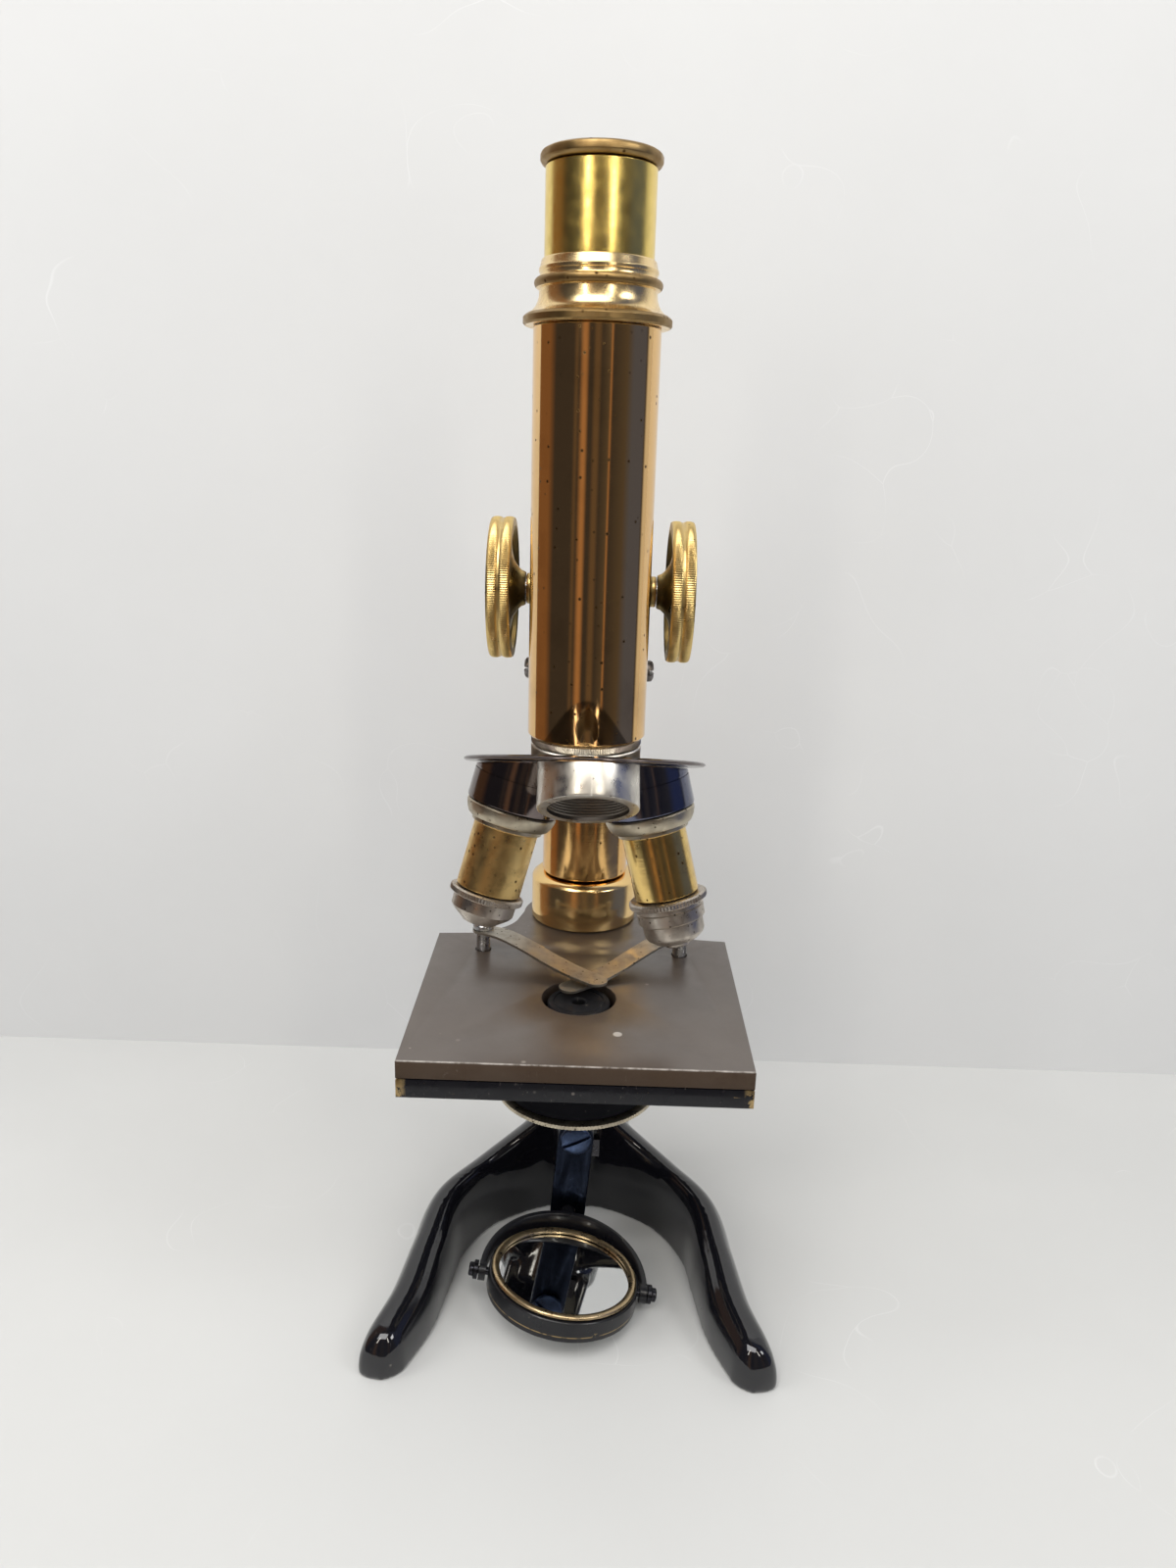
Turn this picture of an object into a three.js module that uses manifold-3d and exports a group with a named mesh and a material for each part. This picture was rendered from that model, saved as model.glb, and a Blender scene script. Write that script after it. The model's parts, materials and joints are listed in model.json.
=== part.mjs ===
// A brass and black lacquer compound microscope on a horseshoe claw foot, as named separate pieces.
// Millimetres, +Z up, -Y towards the person who looks into it. The origin is on the table under the
// middle of the stand. Inside the stand group heights count from the stage's top face, and x and y
// from the optical axis, because every other piece is set out from those two.
import * as THREE from "three";
import { mergeVertices } from "three/addons/utils/BufferGeometryUtils.js";
import Module from "manifold-3d";

const wasm = await Module();
wasm.setup();

// Where the stand is
const STAGE_HEIGHT = 110; // stage top above the table
const OPTICAL_AXIS_Y = -16.5; // puts the middle of the whole object over the origin
const GAP = 0.3; // between pieces that touch
const WIDE_SIDES = 24; // facets round the tubes and other wide turned pieces
const SIDES = 16; // facets round the rest
const FLOOR = -STAGE_HEIGHT;
const DEGREE = Math.PI / 180;

// Stage
const STAGE = { halfWidth: 47.3, front: -39, back: 43.2, thick: 10.9, split: 5.3, holeR: 10.9 };
const TONGUE = { shoulderX: 34, shoulderY: 44.4, neckX: 22.4, neckY: 56, r: 20.6 };
const COLUMN_Y = 63.7; // the column's axis behind the optical axis

// Column and focusing
const BASE_SLEEVE = { r: 17.85, boreR: 10, top: 16.3, chamfer: 1.9 };
const SLEEVE = { r: 14.34, boreR: 9.6, bottom: 17, shoulder: 118, top: 128 };
const PRISM_R = 9;
const PRISM_TOP = 96;
const FINE_HEAD = { r: 13.5, bottom: 130.4, thick: 12 };
const SPINDLE_R = 2.2;
const PINION = { y: 29, z: 115.7, pitchR: 4.2, teeth: 12, addendum: 0.5, dedendum: 0.85, halfWidth: 6 };
const SHAFT_R = 3.8;
const KNOB = { r: 20.2, inner: 22.2, outer: 29, hubEnd: 19, hubR: 7.6, hubTipR: 4.8, boreR: 3 };
const LIMB = { halfWidth: 16.5, front: 17, back: 40, webHalf: 9, collarR: 17, bottom: 88, top: 126 };
const RACK = { halfWidth: 7, rootY: 24, bottom: 81, top: 172 };
const LIMB_SCREW = { y: 28, z: 92.6, headR: 3.1, headTall: 2.4, shankR: 1.5 };

// Body tube, draw tube and eyepiece
const TUBE = { r: 16, boreR: 14.6, bottom: 80, top: 183.45 };
const COLLAR = {
  bottom: 183.75,
  top: 199,
  flangeR: 18.56,
  neckR: 14.6,
  beadR: 15.9,
  beadZ: 193.5,
  boreR: 13.7,
};
const DRAW = { r: 13.5, boreR: 12.2, bottom: 120, top: 219.4 };
const EYEPIECE = { rimR: 14.8, rimTop: 222.7, barrelR: 11.9, boreR: 10.7, bottom: 170 };

// Revolving nosepiece: the objectives' axes meet at the apex, each one tilted from the turning axis
const APEX_Z = 132.1;
const NOSE_TILT = 16.87 * DEGREE;
const NOSE_PARK = 3.8 * DEGREE; // where it is left, short of the half-way point
const NOSE_PLATE = { r: 31.4, top: -57.6, bottom: -58.6 };
const SOCKET = { r: 12.55, boreR: 9.75, end: -73.5 };
const OBJECTIVE = { flangeR: 12.3, bodyR: 8.8, threadR: 9.4, boreR: 7, body: -78, bodyEnd: -97.2 };
const NOSE_RING = { r: 15.07, bottom: 77.6, top: 79.7, threadR: 14.3, boreR: 9.5 };

// Substage and mirror
const IRIS = { r: 24.05, boreR: 14, top: -27.6, bottom: -29.4 };
const SUBSTAGE = { r: 22.4, boreR: 12.5, top: -11.2, bottom: -27.3 };
const APERTURE = { r: 9.25, holeR: 2, top: -1.1 };
const BAR = { halfWidth: 6, front: 30.3, back: 34.3, pivotZ: -68, length: 29.1, hang: 4.4 * DEGREE };
const FORK = { midR: 25.9, halfThick: 1.1, halfTall: 3, stemR: 2.4, drop: 3.4, turn: 3.1 * DEGREE };
const CELL = { r: 24, half: 3.9, seatR: 21.9, glassR: 21.6, pitch: -5.5 * DEGREE };
const STOP = { inner: 5.3, outer: 8, top: -71.1, bottom: -77.6 }; // beside the bar's pivot

// Inclination joint and foot
const HINGE_Z = -31;
const CHEEK = { inner: 8.9, outer: 15.5, r: 11.5 };
const LUG = { halfWidth: 8.5, r: 11 };
const HINGE_PIN_R = 3;

// Stage clips
const CLIP_POST = { x: 31.5, y: 32, r: 2.2, headR: 3.3 };
const CLIP = { halfWidth: 3.4, thick: 0.8, tipY: 4.5 };

const metal = (color, roughness) => new THREE.MeshStandardMaterial({ color, roughness, metalness: 1 });
const BRASS = metal(0xc99a4b, 0.25);
const SATIN_BRASS = metal(0xb98f4e, 0.45);
const NICKEL = metal(0xb9b5ab, 0.3);
const STEEL = metal(0x8a8d92, 0.35);
const BLUED = metal(0x20283a, 0.35);
const LACQUER = new THREE.MeshStandardMaterial({ color: 0x07070a, roughness: 0.15, metalness: 0 });
const EBONITE = new THREE.MeshStandardMaterial({ color: 0x4a3f3a, roughness: 0.5, metalness: 0 });
const GLASS = new THREE.MeshStandardMaterial({ color: 0xe6eef0, roughness: 0.05, metalness: 0 });
const MIRROR = metal(0xe8ebee, 0.05);

const microscope = new THREE.Group();
const stand = new THREE.Group();
stand.position.set(0, OPTICAL_AXIS_Y, STAGE_HEIGHT);
microscope.add(stand);

// One closed surface with shared corners and no collapsed triangles, its faces pointing out.
function closed(geometry) {
  const bare = new THREE.BufferGeometry();
  bare.setAttribute("position", geometry.getAttribute("position"));
  bare.setIndex(geometry.index);
  const merged = mergeVertices(bare, 1e-4);
  const position = merged.getAttribute("position");
  const corner = [0, 1, 2].map(() => new THREE.Vector3());
  const kept = [];
  let volume = 0;
  for (let i = 0; i < merged.index.count; i += 3) {
    const [a, b, c] = [0, 1, 2].map((k) => merged.index.getX(i + k));
    if (a === b || b === c || c === a) continue;
    corner.forEach((v, k) => v.fromBufferAttribute(position, [a, b, c][k]));
    volume += corner[0].dot(corner[1].clone().cross(corner[2]));
    kept.push(a, b, c);
  }
  if (volume < 0) kept.reverse();
  merged.setIndex(kept);
  return merged;
}

function solid(geometry) {
  const g = closed(geometry);
  return new wasm.Manifold(
    new wasm.Mesh({
      numProp: 3,
      vertProperties: new Float32Array(g.getAttribute("position").array),
      triVerts: new Uint32Array(g.index.array),
    }),
  );
}

function surface(manifold) {
  const mesh = manifold.getMesh();
  const geometry = new THREE.BufferGeometry();
  geometry.setAttribute("position", new THREE.BufferAttribute(mesh.vertProperties, 3));
  geometry.setIndex(new THREE.BufferAttribute(mesh.triVerts, 1));
  return geometry;
}

const join = (...pieces) => surface(pieces.map(solid).reduce((all, one) => all.add(one)));
const cut = (piece, ...tools) =>
  surface(tools.map(solid).reduce((left, tool) => left.subtract(tool), solid(piece)));

// Basic shapes, already in place
const box = (x0, x1, y0, y1, z0, z1) =>
  new THREE.BoxGeometry(x1 - x0, y1 - y0, z1 - z0).translate((x0 + x1) / 2, (y0 + y1) / 2, (z0 + z1) / 2);
const rod = (r, z0, z1, sides = SIDES) =>
  new THREE.CylinderGeometry(r, r, z1 - z0, sides).rotateX(Math.PI / 2).translate(0, 0, (z0 + z1) / 2);
const rodAlongY = (r, y0, y1, sides = SIDES) => rod(r, y0, y1, sides).rotateX(-Math.PI / 2);
const rodAlongX = (r, x0, x1, sides = SIDES) => rod(r, x0, x1, sides).rotateY(Math.PI / 2);

// A turned piece from its outline, given as radius and height pairs.
function turned(outline, sides = SIDES) {
  const points = outline.map(([r, z]) => new THREE.Vector2(r, z));
  if (outline[0][0] > 0) points.push(points[0].clone());
  return new THREE.LatheGeometry(points, sides).rotateX(Math.PI / 2);
}
const tubeShape = (r, boreR, z0, z1, sides = SIDES) =>
  turned([[boreR, z0], [r, z0], [r, z1], [boreR, z1]], sides);

// A flat piece from its outline, lying between two heights.
function plate(shape, z0, z1, curveSegments = 12) {
  const options = { depth: z1 - z0, bevelEnabled: false, curveSegments };
  return new THREE.ExtrudeGeometry(shape, options).translate(0, 0, z0);
}

// A skin through equal closed loops of points, with both ends filled.
function loft(loops) {
  const n = loops[0].length;
  const position = loops.flat().flatMap((p) => [p.x, p.y, p.z]);
  const index = [];
  for (let i = 0; i + 1 < loops.length; i++)
    for (let j = 0; j < n; j++) {
      const k = (j + 1) % n;
      const [a, b, c, d] = [i * n + j, i * n + k, (i + 1) * n + k, (i + 1) * n + j];
      index.push(a, b, c, a, c, d);
    }
  for (let j = 1; j + 1 < n; j++) {
    const last = (loops.length - 1) * n;
    index.push(0, j + 1, j);
    index.push(last, last + j, last + j + 1);
  }
  const geometry = new THREE.BufferGeometry();
  geometry.setAttribute("position", new THREE.Float32BufferAttribute(position, 3));
  geometry.setIndex(index);
  return geometry;
}

function add(name, geometry, material, parent = stand) {
  const mesh = new THREE.Mesh(closed(geometry), material);
  mesh.name = name;
  parent.add(mesh);
  return mesh;
}

// The right leg's crest, from the toe to the middle of the back, with the casting's height there
// and how far it reaches inwards and outwards on the table.
const LEG = [
  { x: 55.6, y: -32.8, tall: 9.5, inward: 5.8, outward: 6.6 },
  { x: 55.2, y: -25, tall: 13.5, inward: 7.6, outward: 6.8 },
  { x: 50.4, y: -10, tall: 16.7, inward: 8.2, outward: 6.9 },
  { x: 47, y: 8, tall: 20.9, inward: 7.7, outward: 7.1 },
  { x: 42, y: 25, tall: 25.6, inward: 5.7, outward: 9.2 },
  { x: 29.7, y: 41, tall: 27, inward: 3, outward: 12 },
  { x: 12.7, y: 51.5, tall: 36, inward: 2.8, outward: 17.3 },
  { x: 0, y: 55, tall: 47.7, inward: 4, outward: 23.6 },
];
const LEG_STEPS = 18;
const LEG_SIDES = 10;
const TOE_ROUND = 0.09; // share of the leg's length that the rounded toe takes

function legSection(t) {
  const curve = (point) => new THREE.CatmullRomCurve3(LEG.map(point));
  const at = (key) => curve((s) => new THREE.Vector3(s[key], 0, 0)).getPoint(t).x;
  const path = curve((s) => new THREE.Vector3(s.x, s.y, 0));
  const along = path.getTangent(t);
  const out = t > 0.999 ? new THREE.Vector3(0, 1, 0) : new THREE.Vector3(along.y, -along.x, 0);
  const nose = t < TOE_ROUND ? Math.sqrt(1 - (1 - t / TOE_ROUND) ** 2) : 1;
  const narrow = Math.max(0.25, nose);
  const centre = path.getPoint(t);
  const loop = [];
  for (let j = 0; j <= LEG_SIDES; j++) {
    const turn = (Math.PI * j) / LEG_SIDES;
    const reach = Math.cos(turn);
    const side = reach > 0 ? at("outward") * reach : -at("inward") * Math.abs(reach) ** 0.75;
    const rise = at("tall") * Math.sin(turn) ** 0.85;
    const p = centre.clone().addScaledVector(out, side * narrow);
    loop.push(p.setZ(FLOOR + rise * Math.max(0.35, nose)));
  }
  return loop;
}

function legShape(side) {
  const loops = [];
  for (let i = 0; i <= LEG_STEPS; i++) loops.push(legSection((i / LEG_STEPS) ** 0.9));
  const leg = loft(loops);
  return side < 0 ? leg.scale(-1, 1, 1) : leg;
}

// Pillar: an oval post that ends in two round cheeks for the inclination joint.
function pillarShape() {
  const foot = new THREE.Shape().absellipse(0, COLUMN_Y, 19, 14, 0, 2 * Math.PI);
  const post = plate(foot, FLOOR, FLOOR + 46, 10);
  const riser = box(-CHEEK.outer, CHEEK.outer, COLUMN_Y - CHEEK.r, COLUMN_Y + CHEEK.r, FLOOR + 40, HINGE_Z);
  const round = rodAlongX(CHEEK.r, -CHEEK.outer, CHEEK.outer).translate(0, COLUMN_Y, HINGE_Z);
  return join(post, riser, round);
}

function addFoot() {
  const slot = box(-CHEEK.inner, CHEEK.inner, COLUMN_Y - 20, COLUMN_Y + 20, HINGE_Z - CHEEK.r - 1.5, 0);
  const pinHole = rodAlongX(HINGE_PIN_R + GAP, -20, 20).translate(0, COLUMN_Y, HINGE_Z);
  add("foot_casting", cut(join(legShape(1), legShape(-1), pillarShape()), slot, pinHole), LACQUER);
  const pin = rodAlongX(HINGE_PIN_R, -CHEEK.outer + 0.4, CHEEK.outer - 0.4).translate(0, COLUMN_Y, HINGE_Z);
  add("hinge_pin", pin, STEEL);
  for (const [name, side] of [["left", -1], ["right", 1]]) {
    const head = slottedHead(5.4, 2.2, 1.1).rotateY((side * Math.PI) / 2);
    add(`hinge_screw_${name}`, head.translate(side * (CHEEK.outer + GAP), COLUMN_Y, HINGE_Z), BLUED);
  }
}

// A low domed screw head standing on z = 0 and facing +Z, with its slot along x.
function slottedHead(r, tall, slot) {
  const head = turned([[0, 0], [r, 0], [r, tall * 0.55], [r * 0.8, tall * 0.9], [0, tall]]);
  return cut(head, box(-r - 1, r + 1, -slot / 2, slot / 2, tall * 0.45, tall + 1));
}

function stageOutline() {
  const s = new THREE.Shape();
  s.moveTo(-STAGE.halfWidth, STAGE.front);
  s.lineTo(STAGE.halfWidth, STAGE.front);
  s.lineTo(STAGE.halfWidth, STAGE.back);
  s.lineTo(TONGUE.shoulderX, TONGUE.shoulderY);
  s.quadraticCurveTo(TONGUE.neckX + 1.5, TONGUE.neckY - 6, TONGUE.neckX, TONGUE.neckY);
  s.lineTo(TONGUE.r, COLUMN_Y);
  s.absarc(0, COLUMN_Y, TONGUE.r, 0, Math.PI, false);
  s.lineTo(-TONGUE.neckX, TONGUE.neckY);
  s.quadraticCurveTo(-TONGUE.neckX - 1.5, TONGUE.neckY - 6, -TONGUE.shoulderX, TONGUE.shoulderY);
  s.lineTo(-STAGE.halfWidth, STAGE.back);
  s.closePath();
  const hole = (x, y, r) => new THREE.Path().absarc(x, y, r, 0, 2 * Math.PI, true);
  s.holes.push(hole(0, 0, STAGE.holeR), hole(0, COLUMN_Y, BASE_SLEEVE.boreR));
  for (const side of [-1, 1]) s.holes.push(hole(side * CLIP_POST.x, CLIP_POST.y, CLIP_POST.r + GAP));
  return s;
}

function addStage() {
  add("stage_top_plate", plate(stageOutline(), -STAGE.split, 0, 8), EBONITE);
  add("stage_under_plate", plate(stageOutline(), -STAGE.thick, -STAGE.split - GAP, 8), LACQUER);

  // Bracket under the tongue, with the lug that turns between the foot's cheeks
  const underneath = new THREE.Shape();
  underneath.moveTo(-18, 39);
  underneath.lineTo(18, 39);
  underneath.lineTo(18, COLUMN_Y);
  underneath.absarc(0, COLUMN_Y, 18, 0, Math.PI, false);
  underneath.closePath();
  const pad = plate(underneath, -STAGE.thick - GAP - 5.5, -STAGE.thick - GAP, 8);
  const [lugFront, lugBack] = [COLUMN_Y - LUG.r, COLUMN_Y + LUG.r];
  const web = box(-LUG.halfWidth, LUG.halfWidth, lugFront, lugBack, HINGE_Z, -STAGE.thick - 3);
  const lug = rodAlongX(LUG.r, -LUG.halfWidth, LUG.halfWidth).translate(0, COLUMN_Y, HINGE_Z);
  const pinHole = rodAlongX(HINGE_PIN_R + GAP, -20, 20).translate(0, COLUMN_Y, HINGE_Z);
  add("stage_bracket", cut(join(pad, web, lug), pinHole), LACQUER);

  const { r, boreR, top, chamfer } = BASE_SLEEVE;
  const sleeve = [[boreR, GAP], [r, GAP], [r, top - chamfer], [r - chamfer, top], [boreR, top]];
  add("column_base_sleeve", turned(sleeve, WIDE_SIDES).translate(0, COLUMN_Y, 0), BRASS);
  const prism = rod(PRISM_R, -STAGE.thick, PRISM_TOP, 3).translate(0, COLUMN_Y, 0);
  add("prism_guide", prism, STEEL);
}

function addSubstage() {
  const { r, boreR, top, bottom } = SUBSTAGE;
  const housing = [[boreR, bottom], [r, bottom], [r, top], [boreR, top]];
  add("substage_housing", turned(housing, WIDE_SIDES), LACQUER);

  // Stop that drops into the stage hole: a cup with a pinhole in its face
  const stopWall = 1.2;
  const stopBottom = -STAGE.thick - 8;
  const { r: stopR, holeR, top: stopTop } = APERTURE;
  const stop = [
    [holeR, stopTop - stopWall],
    [stopR - stopWall, stopTop - stopWall],
    [stopR - stopWall, stopBottom],
    [stopR, stopBottom],
    [stopR, stopTop],
    [holeR, stopTop],
  ];
  add("aperture_stop", turned(stop), LACQUER);

  const ring = [[IRIS.boreR, IRIS.bottom], [IRIS.r, IRIS.bottom], [IRIS.r, IRIS.top], [IRIS.boreR, IRIS.top]];
  add("iris_ring", turned(ring, WIDE_SIDES), NICKEL);
}

// A spring clip from its post to just past the middle, with its heights above the stage on the way.
function addClip(name, side, past, heights) {
  const reach = new THREE.Vector2(-CLIP_POST.x - past, CLIP.tipY - CLIP_POST.y);
  const length = reach.length();
  const forward = reach.clone().normalize();
  const across = new THREE.Vector2(-forward.y, forward.x);
  const rise = new THREE.SplineCurve(heights.map((z, i) => new THREE.Vector2(i, z)));
  const { halfWidth, thick } = CLIP;
  const loops = [];
  const steps = 18;
  for (let i = 0; i <= steps; i++) {
    const share = (1 - Math.cos((Math.PI * i) / steps)) / 2;
    const run = -halfWidth + share * (length + 2 * halfWidth);
    const fromEnd = Math.min(run + halfWidth, length + halfWidth - run);
    const round = fromEnd < halfWidth ? Math.sqrt(1 - (1 - fromEnd / halfWidth) ** 2) : 1;
    const half = halfWidth * Math.max(0.15, round);
    const z = rise.getPoint(THREE.MathUtils.clamp(run / length, 0, 1)).y;
    const corner = (s, up) => {
      const x = CLIP_POST.x + forward.x * run + across.x * s * half;
      const y = CLIP_POST.y + forward.y * run + across.y * s * half;
      return new THREE.Vector3(side * x, y, z + up);
    };
    loops.push([corner(-1, 0), corner(1, 0), corner(1, thick), corner(-1, thick)]);
  }
  const postHole = rod(CLIP_POST.r + 0.15, 0, 20).translate(side * CLIP_POST.x, CLIP_POST.y, 0);
  add(`stage_clip_${name}`, cut(loft(loops), postHole), NICKEL);
  const seat = heights[0];
  const outline = [
    [0, -STAGE.thick],
    [CLIP_POST.r, -STAGE.thick],
    [CLIP_POST.r, seat + thick + GAP],
    [CLIP_POST.headR, seat + thick + GAP],
    [CLIP_POST.headR, seat + thick + 1.6],
    [CLIP_POST.headR * 0.7, seat + thick + 2.3],
    [0, seat + thick + 2.5],
  ];
  add(`clip_post_${name}`, turned(outline).translate(side * CLIP_POST.x, CLIP_POST.y, 0), STEEL);
}

function addColumn() {
  const { r, boreR, bottom, shoulder, top } = SLEEVE;
  const bore = SPINDLE_R + GAP;
  const sleeve = [
    [boreR, bottom],
    [r, bottom],
    [r, top - 1],
    [r - 1, top],
    [bore, top],
    [bore, shoulder],
    [boreR, shoulder],
  ];
  add("column_sleeve", turned(sleeve, WIDE_SIDES).translate(0, COLUMN_Y, 0), BRASS);

  // Return spring between the prism's top and the sleeve's shoulder
  const turns = 4;
  const coilR = 6.2;
  const wireR = 0.7;
  const [low, high] = [PRISM_TOP + 1.2, shoulder - 1.2];
  class Helix extends THREE.Curve {
    getPoint(t, target = new THREE.Vector3()) {
      const angle = 2 * Math.PI * turns * t;
      return target.set(coilR * Math.cos(angle), coilR * Math.sin(angle), low + (high - low) * t);
    }
  }
  const wire = new THREE.Shape().absarc(0, 0, wireR, 0, 2 * Math.PI, false);
  const winding = { extrudePath: new Helix(), steps: 12 * turns, curveSegments: 3 };
  const spring = new THREE.ExtrudeGeometry(wire, winding);
  add("return_spring", spring.translate(0, COLUMN_Y, 0), STEEL);

  const spindle = rod(SPINDLE_R, PRISM_TOP + GAP, FINE_HEAD.bottom - GAP, 16).translate(0, COLUMN_Y, 0);
  add("micrometer_screw", spindle, STEEL);
  const { r: headR, bottom: headLow, thick } = FINE_HEAD;
  const head = [
    [0, headLow],
    [headR - 1, headLow],
    [headR, headLow + 1],
    [headR, headLow + thick - 3],
    [headR - 1.5, headLow + thick - 1.5],
    [5, headLow + thick],
    [0, headLow + thick],
  ];
  add("fine_focus_head", turned(head).translate(0, COLUMN_Y, 0), BRASS);
}

function limbOutline() {
  const s = new THREE.Shape();
  const { halfWidth, front, back, webHalf, collarR } = LIMB;
  const meet = COLUMN_Y - Math.sqrt(collarR ** 2 - webHalf ** 2);
  s.moveTo(-halfWidth, front);
  s.lineTo(halfWidth, front);
  s.lineTo(halfWidth, back - 5);
  s.quadraticCurveTo(halfWidth, back, webHalf, back);
  s.lineTo(webHalf, meet);
  const start = Math.atan2(meet - COLUMN_Y, webHalf);
  s.absarc(0, COLUMN_Y, collarR, start, Math.PI - start, false);
  s.lineTo(-webHalf, back);
  s.quadraticCurveTo(-halfWidth, back, -halfWidth, back - 5);
  s.closePath();
  s.holes.push(new THREE.Path().absarc(0, COLUMN_Y, SLEEVE.r + GAP, 0, 2 * Math.PI, true));
  return s;
}

function addLimb() {
  const arm = plate(limbOutline(), LIMB.bottom, LIMB.top);
  const { halfWidth, rootY } = RACK;
  const tall = [LIMB.bottom - 1, LIMB.top + 1];
  const slideway = box(-halfWidth - GAP, halfWidth + GAP, LIMB.front - 1, rootY + 2.2, ...tall);
  const chamber = rodAlongX(PINION.pitchR + 1.1, -PINION.halfWidth - 0.5, PINION.halfWidth + 0.5);
  const bearing = rodAlongX(SHAFT_R + 0.1, -20, 20);
  const screwHole = rodAlongX(LIMB_SCREW.shankR + 0.2, -20, 20).translate(0, LIMB_SCREW.y, LIMB_SCREW.z);
  const tools = [chamber, bearing].map((g) => g.translate(0, PINION.y, PINION.z));
  add("limb_arm", cut(arm, slideway, ...tools, screwHole), LACQUER);
  for (const [name, side] of [["left", -1], ["right", 1]]) {
    const { headR, headTall, shankR, y, z } = LIMB_SCREW;
    const head = slottedHead(headR, headTall, 0.9).rotateZ(Math.PI / 2).translate(0, 0, LIMB.halfWidth + GAP);
    const screw = join(head, rod(shankR, LIMB.halfWidth - 6, LIMB.halfWidth + 0.5, 12));
    add(`limb_screw_${name}`, screw.rotateY((side * Math.PI) / 2).translate(0, y, z), STEEL);
  }
}

// Pinion with straight-sided teeth on a shaft that carries both knobs.
function addPinion() {
  const { teeth, pitchR, addendum, dedendum, halfWidth, y, z } = PINION;
  const step = (2 * Math.PI) / teeth;
  const [root, tip] = [pitchR - dedendum, pitchR + addendum];
  const tooth = [[root, -0.25], [tip, -0.08], [tip, 0.08], [root, 0.25]];
  const outline = [];
  for (let i = 0; i < teeth; i++) {
    const middle = (i + 0.5) * step - Math.PI;
    for (const [r, share] of tooth)
      outline.push(new THREE.Vector2(r, 0).rotateAround(new THREE.Vector2(), middle + share * step));
  }
  const gear = plate(new THREE.Shape(outline), -halfWidth, halfWidth);
  const shaftEnd = KNOB.outer - 1;
  const clear = RACK.halfWidth + 0.5;
  const journal = (turn) => rod(SHAFT_R, clear, KNOB.hubEnd - GAP).rotateX(turn);
  const ends = rod(KNOB.boreR - 0.2, -shaftEnd, shaftEnd);
  const shaft = join(gear, journal(0), journal(Math.PI), ends);
  add("pinion", shaft.rotateY(Math.PI / 2).translate(0, y, z), STEEL);

  const { r, inner, outer, hubEnd, hubR, hubTipR, boreR } = KNOB;
  const middle = (inner + outer) / 2;
  const profile = [
    [boreR, hubEnd],
    [hubTipR, hubEnd],
    [hubR, inner + 0.2],
    [r - 4.5, inner + 1.6],
    [r - 2.6, inner],
    [r, inner + 0.3],
    [r, middle - 0.5],
    [r - 0.6, middle],
    [r, middle + 0.5],
    [r, outer],
    [r - 3.2, outer],
    [r - 4.6, outer - 1.6],
    [boreR + 3, outer - 1.6],
    [boreR + 2, outer],
    [boreR, outer],
  ];
  for (const [name, side] of [["left", -1], ["right", 1]]) {
    const knob = turned(profile, WIDE_SIDES).rotateY((side * Math.PI) / 2);
    add(`coarse_knob_${name}`, knob.translate(0, y, z), BRASS);
  }
}

// Slide on the back of the tube, with its rack.
function addRack() {
  const { halfWidth, rootY, bottom, top } = RACK;
  const pitch = (2 * Math.PI * PINION.pitchR) / PINION.teeth;
  const tipY = rootY + PINION.dedendum + PINION.addendum - 0.05;
  const s = new THREE.Shape();
  s.moveTo(TUBE.r - 3, bottom);
  s.lineTo(rootY, bottom);
  const first = Math.ceil((bottom + pitch - PINION.z) / pitch);
  const last = Math.floor((top - pitch - PINION.z) / pitch);
  for (let i = first; i <= last; i++) {
    const middle = PINION.z + i * pitch;
    s.lineTo(rootY, middle - 0.22 * pitch);
    s.lineTo(tipY, middle - 0.08 * pitch);
    s.lineTo(tipY, middle + 0.08 * pitch);
    s.lineTo(rootY, middle + 0.22 * pitch);
  }
  s.lineTo(rootY, top);
  s.lineTo(TUBE.r - 3, top);
  s.closePath();
  // the outline is drawn in y and z: turn it upright, then centre it across the tube
  const bar = plate(s, -halfWidth, halfWidth).rotateX(Math.PI / 2).rotateZ(Math.PI / 2);
  add("rack_slide", cut(bar, rod(TUBE.r + GAP, bottom - 1, top + 1, WIDE_SIDES)), SATIN_BRASS);
}

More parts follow.
